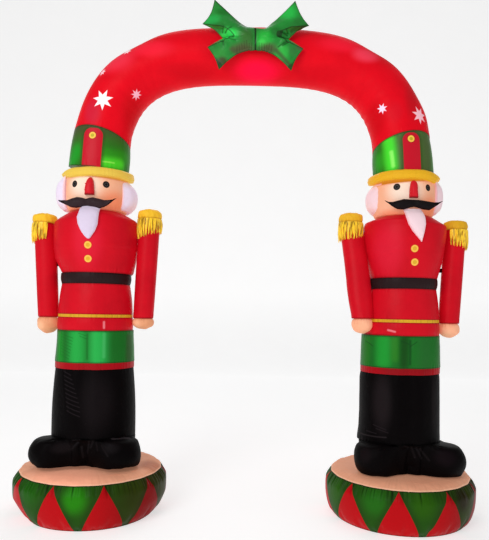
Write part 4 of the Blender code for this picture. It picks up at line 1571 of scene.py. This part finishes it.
@dataclass
class Fringe:
    """Epaulette fringe: a stitched tape with a hundred cords of yarn."""

    side: Side
    hand: Hand
    strands: int = 104
    slant: float = 0.0
    half_arc: float = math.radians(138.0)
    radius: float = 0.0700
    tape_height: float = 0.010
    cord: float = 0.0027
    length: float = 0.098
    steps: int = 8
    clump: float = math.radians(14.0)

    def outward(self) -> float:
        """Sign of the way out from the figure's middle, along X."""
        return self.hand.value * self.side.value

    def model_cord(self) -> bpy.types.Object:
        """One straight cord, six-sided, cut into short lengths that can be bent.

        Returns:
            The cord, a metre long, hanging from the origin.
        """
        bpy.ops.object.select_all(action="DESELECT")
        bpy.ops.mesh.primitive_cylinder_add(
            vertices=6, radius=self.cord, depth=1.0, location=(0.0, 0.0, -0.5))
        cord = bpy.context.object
        bpy.ops.object.transform_apply(location=True, rotation=True, scale=True)
        switch("EDIT")
        bpy.ops.mesh.select_mode(type="EDGE")
        bpy.ops.mesh.select_all(action="DESELECT")
        switch("OBJECT")
        for edge in cord.data.edges:
            a, b = (cord.data.vertices[v].co for v in edge.vertices)
            edge.select = abs(a.z - b.z) > 0.5
        switch("EDIT")
        bpy.ops.mesh.subdivide(number_cuts=self.steps - 1)
        switch("OBJECT")
        return cord

    def bend(self, cord: bpy.types.Object, turn: float, centre: Vector, top: float,
             pick: np.random.Generator) -> None:
        """Hangs one cord from the tape, leaning towards its clump and waving a little.

        Args:
            cord: the straight cord, one metre long.
            turn: where it hangs round the sleeve.
            centre: middle of the sleeve.
            top: height of the cord's root.
            pick: source of the seeded unevenness.
        """
        lean = (round(turn / self.clump) * self.clump - turn) * pick.uniform(0.25, 0.75)
        level = self.outward() * math.cos(turn)
        long = self.length * (1.0 + self.slant * level) * pick.uniform(0.90, 1.10)
        wave, phase = pick.uniform(0.3, 1.0) * math.radians(2.4), pick.uniform(0.0, math.tau)
        out = pick.uniform(0.0, 0.0035)
        for vert in cord.data.vertices:
            share = -vert.co.z
            angle = turn + lean * share ** 1.5 + wave * math.sin(5.0 * share + phase) * share
            sway = 0.004 * math.sin(math.pi * share) + 0.001 * math.sin(9.0 * share + phase)
            reach = self.radius + out + sway
            thick = 1.0 - 0.45 * share ** 6
            across, deep = vert.co.x * thick, vert.co.y * thick
            away = Vector((self.outward() * math.cos(angle), -math.sin(angle), 0.0))
            aside = Vector((-away.y, away.x, 0.0))
            vert.co = centre + away * (reach + across) + aside * deep + Vector((0.0, 0.0, top - long * share))

    def build(self, centre_x: float, top: float) -> None:
        """Tape and cords, joined to one piece.

        Args:
            centre_x: middle of the sleeve at the shoulder.
            top: height of the cap's rim.
        """
        pick = np.random.default_rng(71 + int(self.side.value) * 3 + int(self.hand.value))
        centre = Vector((centre_x, 0.0, 0.0))
        first = self.model_cord()
        cords = []
        for n in range(self.strands):
            turn = -self.half_arc + 2.0 * self.half_arc * n / (self.strands - 1)
            cord = first.copy()
            cord.data = first.data.copy()
            bpy.context.scene.collection.objects.link(cord)
            self.bend(cord, turn + pick.uniform(-0.02, 0.02), centre, top - 0.002, pick)
            cords.append(cord)
        bpy.data.objects.remove(first)
        cords.append(self.model_tape(centre, top))
        bpy.ops.object.select_all(action="DESELECT")
        for cord in cords:
            cord.select_set(True)
        bpy.context.view_layer.objects.active = cords[0]
        bpy.ops.object.join()
        piece = bpy.context.object
        node = f"{self.side.label}_{self.hand.label}_epaulette_fringe"
        piece.name = piece.data.name = f"{node}_yarn"
        bpy.ops.object.shade_smooth_by_angle(angle=math.radians(50.0))
        piece.data.materials.clear()
        piece.data.materials.append(TwistedYarn().material(node))
        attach(piece, "root")
        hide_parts(node)
        LOG.info("%s: %d points", piece.name, len(piece.data.vertices))

    def model_tape(self, centre: Vector, top: float) -> bpy.types.Object:
        """Stitched tape from which the cords hang.

        Args:
            centre: middle of the sleeve.
            top: height of the tape's upper edge.

        Returns:
            The tape.
        """
        bpy.ops.object.select_all(action="DESELECT")
        bpy.ops.mesh.primitive_circle_add(
            vertices=72, radius=self.radius, location=(centre.x, 0.0, top - 0.0006))
        tape = bpy.context.object
        bpy.ops.object.transform_apply(location=True, rotation=True, scale=True)
        switch("EDIT", "SELECT")
        bpy.ops.mesh.extrude_region_move(TRANSFORM_OT_translate={"value": (0.0, 0.0, -self.tape_height)})
        bpy.ops.mesh.select_mode(type="VERT")
        bpy.ops.mesh.select_all(action="DESELECT")
        switch("OBJECT")
        away = self.outward()
        for vert in tape.data.vertices:
            vert.select = (vert.co.x - centre.x) * away < self.radius * math.cos(self.half_arc)
        switch("EDIT")
        bpy.ops.mesh.delete(type="VERT")
        bpy.ops.mesh.select_all(action="SELECT")
        bpy.ops.mesh.normals_make_consistent(inside=False)
        switch("OBJECT")
        wall = tape.modifiers.new("wall", "SOLIDIFY")
        wall.thickness = 0.0032
        wall.offset = 0.0
        bpy.ops.object.modifier_apply(modifier=wall.name)
        return tape


@dataclass
class Arm:
    """Sleeve, gathered mitten, epaulette cap and fringe."""

    side: Side
    hand: Hand
    wrist: float = 1.172
    raised: float = 0.022

    def stem(self) -> str:
        """What the names of the arm's nodes begin with."""
        return f"{self.side.label}_{self.hand.label}"

    def build_sleeve(self) -> None:
        """Sleeve with its gathers at the wrist."""
        panel = Panel(f"{self.stem()}_arm")
        panel.subdivide(3)
        if self.side is Side.RIGHT and self.hand is Hand.INNER:
            panel.tailor(
                ((222, 341, 362.5), (230, 341.5, 364.6), (243, 342.7, 366), (261.0, 344.4, 368.2),
                (278, 345.6, 369.6), (290, 346, 370.4), (305, 347.4, 370.8), (317.5, 349.2, 370.8)))
            points = panel.points()
            points[:, 2] += self.raised * np.clip(1.0 - (points[:, 2] - points[:, 2].min()) / 0.3, 0.0, 1.0)
            panel.move(points)
        panel.press(gathered(self.wrist, 0.030, Ripple(22, 0.0012, 41)))
        panel.hand_over(RED)

    def build_mitten(self) -> None:
        """Gathered mitten, as tall and wide as the photograph shows it."""
        panel = Panel(f"{self.stem()}_hand")
        panel.puff(Blow(0.05, 0.005))
        tall, wide, shift, raised = {
            (Side.LEFT, Hand.OUTER): (0.95, 1.0, 0.0, 0.0), (Side.LEFT, Hand.INNER): (0.77, 1.0, 0.0, 0.0),
            (Side.RIGHT, Hand.INNER): (1.02, 0.93, 0.013, self.raised),
            (Side.RIGHT, Hand.OUTER): (0.82, 0.97, 0.0, 0.0),}[self.side, self.hand]
        points = panel.points()
        middle, top = (points[:, 0].min() + points[:, 0].max()) / 2.0, points[:, 2].max()
        points[:, 0] = middle + shift + (points[:, 0] - middle) * wide
        points[:, 2] = top + raised - (top - points[:, 2]) * tall
        panel.move(points)
        panel.press(crumpled(0.045, 0.0012, 48))
        panel.press(gathered(self.wrist + raised, 0.030, Ripple(20, 0.0016, 42)))
        low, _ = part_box(panel.node)
        # Painted light low on the front of the mitten.
        marks = [Glow(Vector((low.x + 0.03, -0.05, low.z + 0.05)), (0.05, 0.05, 0.05), "f4c09a", 0.5)]
        panel.hand_over(HAND_SKIN[self.side], marks)

    def build_epaulette(self) -> None:
        """Padded cap and the fringe that hangs from its rim."""
        panel = Panel(f"{self.stem()}_epaulette_cap")
        panel.puff(Blow(0.03, 0.003))
        panel.press(lambda points, normals: -0.007 * np.clip(normals[:, 2], 0.0, 1.0))
        panel.press(crumpled(0.028, 0.0014, 47))
        low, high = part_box(panel.node)
        middle = (low.x + high.x) / 2.0
        shade, slant, arc = {
            (Side.LEFT, Hand.OUTER): (0.25, -0.16, 117.0), (Side.LEFT, Hand.INNER): (0.35, -0.20, 165.0),
            (Side.RIGHT, Hand.INNER): (0.55, -0.12, 165.0), (Side.RIGHT, Hand.OUTER): (0.95, 0.14, 130.0),
        }[self.side, self.hand]
        marks = [Glow(Vector((middle, 0.0, low.z)), (0.20, 0.20, 0.20), "c8941c", shade)]
        panel.hand_over(YELLOW, marks)
        Fringe(self.side, self.hand, slant=slant, half_arc=math.radians(arc)).build(middle, low.z)

    def build(self) -> None:
        """Every part of the arm."""
        self.build_sleeve()
        self.build_mitten()
        self.build_epaulette()


@dataclass
class Head:
    """Face, hair, nose, moustache, beard and tall hat."""

    side: Side
    lift: dict = field(default_factory=lambda: {Side.LEFT: 0.0, Side.RIGHT: 0.014})
    tuck: float = 0.016
    half_stripe: float = 0.150
    face_seam: float = 1.810
    hat_seam: float = 2.075

    def eyes(self, panel: Panel) -> list[Mark]:
        """Round black eyes with a thin pale ring inside.

        Args:
            panel: the face.

        Returns:
            Their marks.
        """
        pixels = {Side.LEFT: ((74.6, 183.8), (106.3, 184.5)), Side.RIGHT: ((396.8, 186.8), (428.1, 187.7))}
        rows = (0.0202, "0c0808"), (0.0104, "565252"), (0.0084, "0c0808")
        return [mark for pixel in pixels[self.side] for mark in rings(panel.spot(*pixel), rows)]

    def build_face(self) -> None:
        """Skin-coloured drum of the head."""
        panel = Panel(f"{self.side.label}_face")
        panel.subdivide(3)
        panel.press(gathered(self.face_seam, 0.030, Ripple(30, 0.0016, 51)))
        low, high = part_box(panel.node)
        middle = (low.x + high.x) / 2.0
        # Painted light on the upper face, and warmer, deeper painted shade low on both sides.
        marks = [Glow(Vector((middle - 0.04, -0.19, high.z - 0.09)), (0.17, 0.16, 0.13), "efd8c6", 0.95),
                 Glow(Vector((middle + 0.14, -0.14, low.z + 0.04)), (0.16, 0.14, 0.11), "ee8258", 0.8),
                 Glow(Vector((middle - 0.12, -0.16, low.z)), (0.16, 0.14, 0.05), "ee8a62", 0.7)]
        panel.hand_over(SKIN, marks + self.eyes(panel))

    def build_pad(self, name: str, cloth: PaintedLightSatin, blow: Blow, rim_angle: float = 45.0,
                  rows: Rows = (), columns: Rows = (), pull: tuple[float, float] = (0.0, 0.0)) -> None:
        """One small padded part.

        Args:
            name: what the node's name ends with.
            cloth: its finish.
            blow: how hard it is blown up.
            rim_angle: as Panel takes it.
            rows: as Panel.tailor takes them.
            columns: as Panel.trim takes them.
            pull: how far its left and right ends are moved.
        """
        panel = Panel(f"{self.side.label}_{name}", rim_angle)
        panel.puff(blow)
        points = panel.points()
        points[:, 2] += self.lift[self.side]
        off = 2.0 * (points[:, 0] - points[:, 0].min()) / np.ptp(points[:, 0]) - 1.0
        points[:, 0] += np.abs(off) * np.where(off < 0.0, pull[0], pull[1])
        panel.move(points)
        if rows:
            panel.tailor(rows)
        if columns:
            panel.trim(columns)
        panel.hand_over(cloth)

    def build_hat(self) -> None:
        """Green band with its red stripe and round button."""
        panel = Panel(f"{self.side.label}_hat_band")
        panel.subdivide(3)
        points = panel.points()
        points[:, 2] -= self.tuck * (points[:, 2] < points[:, 2].min() + 0.004)
        panel.move(points)
        panel.press(gathered(self.hat_seam, 0.020, Ripple(40, 0.0012, 61)))
        base, peak, knob, half = {
            Side.LEFT: ((90.7, 164.0), (93.2, 134.0), (92.4, 135.1), 0.0560),
            Side.RIGHT: ((412.9, 166), (411.5, 138), (411.2, 138.6), 0.0510)}[self.side]
        (low, out), (high, _), (button, _) = (CAMERA.touch(panel.piece, *p) for p in (base, peak, knob))
        up = (high - low).normalized()
        face = (out - up * out.dot(up)).normalized()
        turn = Matrix((up.cross(face), up, face)).transposed().to_euler()
        crown = Vector((self.side.value * 0.92, 0.0, 2.335))
        # Painted light and shade on the band: bright painted highlights low down and in upright bands,
        # painted shade darkening it towards the crown and in dark bands.
        if self.side is Side.LEFT:
            marks = [
                panel.streak((76, 152), (74.5, 167), 12, "1e9024", 1.0),
                panel.streak((107, 155), (125, 159), 12, "2c8e1a", 0.8),
                panel.streak((106, 163), (120, 165), 10, "48cc28", 1.0),
                panel.streak((103, 161.5), (114, 163), 1.4, "a4e860", 0.5),
                Glow(crown, (0.6, 0.6, 0.20), "43482a", 1.0)]
        else:
            marks = [
                panel.glow(380, 162, 11, 15, "2c9420", 0.95), Glow(crown, (0.6, 0.6, 0.17), "475a30", 0.9),
                panel.streak((426, 142), (427, 168), 15, "475c30", 1.0),
                panel.streak((401, 137), (402, 167), 8, "4c6c34", 0.9),
                panel.streak((388.8, 141), (391.6, 167), 9.5, "46da30", 1.0),
                panel.streak((391.3, 152), (393.2, 166), 3.0, "a4ff78", 0.6)]
        middle = high + up * (half * 0.68 - self.half_stripe)
        marks.append(Stripe(middle, turn, half, self.half_stripe, 0.044, "be1628", "37421f"))
        marks += rings(button, ((0.0235, "96121a"), (0.0200, "f0c04c"), (0.0105, "b4a628")))
        panel.hand_over(HAT_GREEN, marks)

    def build(self) -> None:
        """Every part of the head."""
        self.build_face()
        left = self.side is Side.LEFT
        self.build_pad("hair", WHITE if left else PINK_WHITE, Blow(0.03, 0.004),
                       pull=(-0.015, -0.009) if left else (0.022, 0.0))
        bridge = (
            (177.2, 88.4, 91.6), (178.5, 87.2, 92.4), (180.3, 86.3, 93), (185, 84.8, 93.6),
            (190.0, 84.3, 93.8), (194.5, 84.1, 93.9)) if left else ((179.8, 412.8, 416), (181.3, 411.7, 417),
            (183.6, 410.8, 417.9), (187.0, 410.3, 418.3), (190, 410, 418.5), (196.5, 409.7, 418.7))
        self.build_pad("nose", NOSE_RED, Blow(0.02, 0.002), rows=bridge)
        lobes = (
            (56.4, 199.6, 200.4), (61, 199.8, 202.9), (66.4, 199.6, 205.2), (70, 197.8, 206.8),
            (75.5, 196.0, 207.2), (80.5, 196.7, 206.4), (85.2, 198.1, 205.3), (88.5, 197, 206),
            (91.2, 196.4, 206.9), (97.3, 197.6, 208.0), (103.3, 199.2, 206.6), (107.6, 199.4, 204.8),
            (112, 199.2, 201.6), (114.8, 198.2, 199))
        if not left:
            lobes = (
                (385.3, 200.2, 201), (389, 201.6, 203.6), (393, 201.4, 206.4), (398.0, 199.9, 208.6),
                (404.9, 198.1, 209), (411, 198.6, 207), (415, 199.2, 206.4), (419.0, 199.0, 207.2),
                (424, 199.6, 208.8), (430.6, 200.8, 209.8), (435, 201.8, 207.2), (439.0, 202.0, 204.4),
                (442.3, 201.0, 201.8))
        self.build_pad(
            "moustache", LIT_MOUSTACHE_BLACK if left else SHADED_MOUSTACHE_BLACK, Blow(0.04, 0.003),
            columns=lobes)
        point = (
            (212, 77.4, 98.2), (216.7, 76.3, 98), (223.5, 77.3, 97.6), (230.3, 80.2, 95), (234.9, 83.2, 91.8),
            (239.4, 87.0, 89.2)) if left else ((209, 406, 424.8), (216.5, 406.6, 426.3),
            (223.7, 408.5, 426.3), (231.0, 412.6, 425.0), (235.8, 416.6, 423.8), (240.6, 420.9, 422.6))
        self.build_pad(
            "beard", SHADED_BEARD_WHITE if left else PINK_WHITE, Blow(0.03, 0.003), rows=point)
        band = (
            (63.2, 171.6, 174.6), (65.6, 168.9, 176.2), (70.2, 166.8, 176.4), (79.3, 165.9, 175.4),
            (90.2, 165.6, 174.9), (99.3, 166, 175), (110.2, 167.4, 175.9), (120.2, 169.1, 177.4),
            (126, 170.7, 179.4), (130.4, 172.8, 181.6), (132.6, 176.4, 180.4)) if left else ((368.1, 180.4,
            183), (370.9, 176.4, 183.4), (375, 173.6, 182.4), (382.7, 170.9, 180.2), (391.8, 169.3, 178.9),
            (400.9, 168.6, 178.2), (412.7, 168.4, 178), (423.6, 168.8, 178.7), (430.9, 170.2, 180.4),
            (436.4, 172.6, 182.7), (440, 176.6, 180))
        self.build_pad(
            "hat_brim", BRIM_YELLOW[self.side], Blow(0.02, 0.002), 25.0, columns=band)
        self.build_hat()


@dataclass
class Figure:
    """One toy soldier on its drum."""

    side: Side

    def build(self) -> None:
        """Builds the figure from the ground up."""
        Drum(self.side).build()
        Boots(self.side).build()
        Uniform(self.side).build()
        for hand in Hand:
            Arm(self.side, hand).build()
        tie = Panel(f"{self.side.label}_arm_tie")
        tie.subdivide(2)
        tie.hand_over(BLACK)
        Head(self.side).build()


@dataclass
class ArchTube:
    """Red tube over both figures, with printed stars."""

    foot_x: float = 0.940
    spring: float = 1.820
    crown: float = 2.787
    squareness: float = 3.3
    radius: float = 0.165
    waves: int = 6
    wave_length: tuple[float, float] = (0.045, 0.085)
    wave_depth: float = 0.0013
    # pixel, reach to the sides and up, colour and strength of each patch of painted light or painted shade
    painted_lights: tuple = (
        (116, 60, 30, 22, "ea344a", 0.75), (402, 74, 20, 16, "e40c22", 0.8), (150, 48, 34, 14, "ee2238", 0.8),
        (257, 72, 33, 15, "f80a3c", 0.9), (345, 44, 40, 14, "f01c34", 0.8), (366, 55, 20, 12, "f24058", 0.8),
        (133, 112, 16, 34, "c60a16", 0.9), (92, 112, 14, 22, "c42038", 0.8),
        (376, 120, 14, 26, "c00814", 0.7), (395, 112, 12, 16, "cc1424", 0.6),
        (190, 72, 40, 12, "c40616", 0.8), (325, 74, 40, 12, "cc0618", 0.8),
        (412, 100, 12, 30, "b8101c", 0.7))
    # pixel, radius in pixels, points, colour and lean in degrees of each star
    stars: tuple = (
        (102.5, 99.5, 10.2, 7, "fbf2f4", 180), (136.4, 94.7, 5.4, 8, "f2b0c0", 10),
        (102.5, 72.3, 4.6, 7, "f6ccd4", 20), (127.4, 51.7, 5.0, 7, "f8dce0", 10),
        (419.7, 115.2, 9.2, 7, "f6bcc8", 180), (382.1, 108.7, 5.0, 7, "f2d6ee", -20),
        (409.5, 83.9, 5.0, 7, "f8e4e8", 15.0))
    # X, Z, reach and outward move of each swelling or flat
    swellings: tuple = (
        (1.105, 2.435, 0.11, 0.015), (-0.725, 2.853, 0.14, -0.015), (0.741, 2.853, 0.13, -0.014),
        (0.040, 2.957, 0.10, 0.007))

    def centre_line(self, samples: int = 600) -> tuple[np.ndarray, np.ndarray]:
        """Points and outward directions along the middle of the tube.

        Args:
            samples: how many points.

        Returns:
            The points and the directions, one row each.
        """
        turn = np.linspace(0.02, math.pi - 0.02, samples)
        power = 2.0 / self.squareness
        x = -self.foot_x * np.sign(np.cos(turn)) * np.abs(np.cos(turn)) ** power
        z = self.spring + (self.crown - self.spring) * np.sin(turn) ** power
        line = np.stack([x, np.zeros(samples), z], 1)
        way = np.gradient(line, axis=0)
        way /= np.linalg.norm(way, axis=1)[:, None]
        return line, np.stack([-way[:, 2], np.zeros(samples), way[:, 0]], 1)

    def polar(self, points: np.ndarray) -> tuple[np.ndarray, np.ndarray, np.ndarray]:
        """Where each point lies on the tube.

        Args:
            points: coordinates, one row each.

        Returns:
            Angle round the tube, run along it, and how sharply it bends there.
        """
        line, out = self.centre_line()
        steps = np.linalg.norm(np.diff(line, axis=0), axis=1)
        run = np.concatenate([[0.0], np.cumsum(steps)])
        bend = np.linalg.norm(np.gradient(out, axis=0), axis=1) / np.gradient(run)
        near = np.empty(len(points), int)
        for start in range(0, len(points), 4000):
            part = points[start:start + 4000, None, ::2] - line[None, :, ::2]
            near[start:start + 4000] = np.argmin((part ** 2).sum(2), axis=1)
        away = points - line[near]
        angle = np.arctan2(-points[:, 1], (away * out[near]).sum(1))
        return angle, run[near], bend[near]

    def wrinkles(self, points: np.ndarray, normals: np.ndarray) -> np.ndarray:
        """Creases across the inner side of the two bends, where the tube is crowded.

        Args:
            points: coordinates, one row each.
            normals: normals, one row each.

        Returns:
            The move, in metres.
        """
        angle, run, bend = self.polar(points)
        pick = np.random.default_rng(81)
        inner = np.clip(-np.cos(angle) + 0.15, 0.0, 1.0) ** 1.2
        total = np.zeros(len(points))
        for _ in range(self.waves):
            length = pick.uniform(*self.wave_length)
            total += np.sin(math.tau * run / length + pick.uniform(0.0, math.tau) + 0.8 * np.sin(3.0 * angle))
        sharp = np.clip(bend / 3.0, 0.0, 1.0)
        return self.wave_depth * total / math.sqrt(self.waves) * inner * sharp

    def fitted(self, points: np.ndarray, normals: np.ndarray) -> np.ndarray:
        """Small swellings and flats, where the photograph shows that the tube isn't quite even.

        Args:
            points: coordinates, one row each.
            normals: normals, one row each.

        Returns:
            The move, in metres.
        """
        total = np.zeros(len(points))
        for x, z, reach, move in self.swellings:
            total += move * np.exp(-((points[:, 0] - x) ** 2 + (points[:, 2] - z) ** 2) / reach ** 2)
        return total

    def round_way(self, points: np.ndarray) -> np.ndarray:
        """Place round the tube as a vector whose length is the tube's radius."""
        angle, _, _ = self.polar(points)
        return self.radius * np.stack([np.cos(angle), np.sin(angle), np.zeros(len(points))], 1)

    def build(self) -> None:
        """Tube with creases, painted light and shade, and stars."""
        panel = Panel("arch_tube")
        panel.subdivide(3)
        panel.press(self.fitted)
        panel.press(self.wrinkles)
        marks: list[Mark] = [panel.glow(*row) for row in self.painted_lights]
        for x, y, size, count, colour, lean in self.stars:
            point, normal = CAMERA.touch(panel.piece, x, y)
            marks.append(
                Star(point, flat_turn(normal, math.radians(lean)), size * CAMERA.pixel, count, colour))
        panel.hand_over(ARCH_RED, marks, axis=self.round_way)


@dataclass
class Bow:
    """Padded bow on the crown, pinched in the middle and at its notches."""

    pleats: tuple = (
        ((222.5, 33), (224, 24)), ((225, 33), (233.5, 26)), ((223, 40), (223.5, 46)), ((226, 38), (238, 40)),
        ((288, 35.5), (278, 31.5)), ((288, 34), (285, 27)), ((287, 41), (276, 48.5)),
        ((288.5, 42), (281, 46.5)),)
    shades: tuple = (
        ((218, 67), (236, 51), 4.0, "46522f", 0.85), ((276, 50), (291, 66), 3.0, "3c4c2c", 0.8),
        ((294, 64), (302, 49), 3.5, "46583c", 0.8), ((208, 49), (217, 66), 3.0, "46583c", 0.7),
        ((291, 31.5), (307, 24.8), 2.4, "1c4a1c", 0.7), ((216, 4.0), (244, 26), 3.0, "1f5a22", 0.8),)
    # pixel, reach to the sides and up, colour and strength of each patch of painted light or painted shade,
    # and of those laid over the painted shades
    painted_lights: tuple = (
        (229, 35, 15, 9, "30d050", 1.0), (212, 20, 13, 9, "22a044", 1.0), (264, 38, 13, 15, "22a636", 1.0),
        (262, 43, 6, 6, "3cc84a", 0.7), (288, 13, 14, 15, "24b042", 1.0), (282, 52, 12, 10, "2cac3e", 0.9),
        (219, 55, 12, 9, "2e8a34", 0.8), (277, 31, 10, 7, "1c6a26", 0.9), (224, 12, 13, 6, "1a6a22", 0.9),
        (247, 37, 10, 16, "34692a", 0.9), (300, 22, 12, 7, "20702a", 0.8), (293, 52, 7, 6, "2a7032", 0.7))
    hollows: tuple = (
        (243, 50, 17, 8, "4a5430", 1.0), (268, 49, 14, 7, "46502f", 0.9), (222, 61, 9, 6, "3c3c24", 0.9),
        (231, 34.5, 7, 5, "34d85a", 1.0))
    middle_x: float = 255.4
    # metres: where the middle lies, how far it sags and how wide, and how far up and out the tips go
    centre: float = 0.040
    sag: float = 0.021
    sag_width: float = 0.048
    sag_from: float = 2.86
    tip_from: float = 2.93
    tip_up: float = 0.015
    tip_out: float = 0.016

    def build(self) -> None:
        """Bow with its pleats, gathers and centre seam."""
        panel = Panel("bow", 60.0)
        panel.puff(Blow(0.02, 0.006))
        starts, ends = panel.spots(self.pleats)
        top, low = panel.spot(self.middle_x, 28.5), panel.spot(self.middle_x, 50.0)
        columns = [x for x in np.arange(236.0, 275.0, 2.6) if abs(x - self.middle_x) > 1.5]
        edge_starts, edge_ends = panel.spots(
            ((x, self.hem(x)), (x + (self.middle_x - x) * 0.05, self.hem(x) - 7.0)) for x in columns)
        marks: list[Mark] = [panel.glow(*row) for row in self.painted_lights]
        marks += [panel.streak(*row) for row in self.shades]
        marks += [panel.glow(*row) for row in self.hollows]
        # Painted shade in the pleats, along the gathers of the lower edge and down the centre pinch.
        marks += [Streak(a, a + (b - a) * 0.8, 0.0068, "14501c", 0.8) for a, b in zip(starts, ends)]
        marks += [Streak(a, b, 0.0050, "2a3a1c", 0.5) for a, b in zip(edge_starts, edge_ends)]
        marks.append(Streak(top, low, 0.0095, "0e2c10", 1.0))
        panel.press(pleated(starts, ends, 0.0065, 0.0085))
        panel.press(pleated([top], [low], 0.007, 0.009))
        panel.press(pleated(edge_starts, edge_ends, 0.0045, 0.0026))
        points = panel.points()
        near = np.exp(-((points[:, 0] - self.centre) / self.sag_width) ** 4)
        points[:, 2] -= self.sag * near * np.clip((points[:, 2] - self.sag_from) / 0.06, 0.0, 1.0)
        tip = np.clip((points[:, 2] - self.tip_from) / 0.10, 0.0, 1.0) ** 1.5
        points[:, 2] += self.tip_up * tip
        points[:, 0] -= np.where(points[:, 0] < self.centre, self.tip_out, 0.0) * tip
        panel.move(points)
        panel.hand_over(BOW_GREEN, marks, sharp=62.0)

    def hem(self, x: float) -> float:
        """Pixel height of the bow's lower edge under a pixel column, a little inside it."""
        return 49.5 + 0.020 * (x - self.middle_x) ** 2


def main() -> None:
    """Builds the studio and every piece, in order."""
    logging.basicConfig(level=logging.INFO, format="%(message)s")
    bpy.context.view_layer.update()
    for leftover in [o for o in bpy.context.scene.objects if o.name in ("Cube", "Light", "Camera")]:
        bpy.data.objects.remove(leftover)
    CAMERA.build()
    Studio().build()
    ArchTube().build()
    Bow().build()
    for side in Side:
        Figure(side).build()
    bpy.context.view_layer.update()


if __name__ == "__main__":
    main()
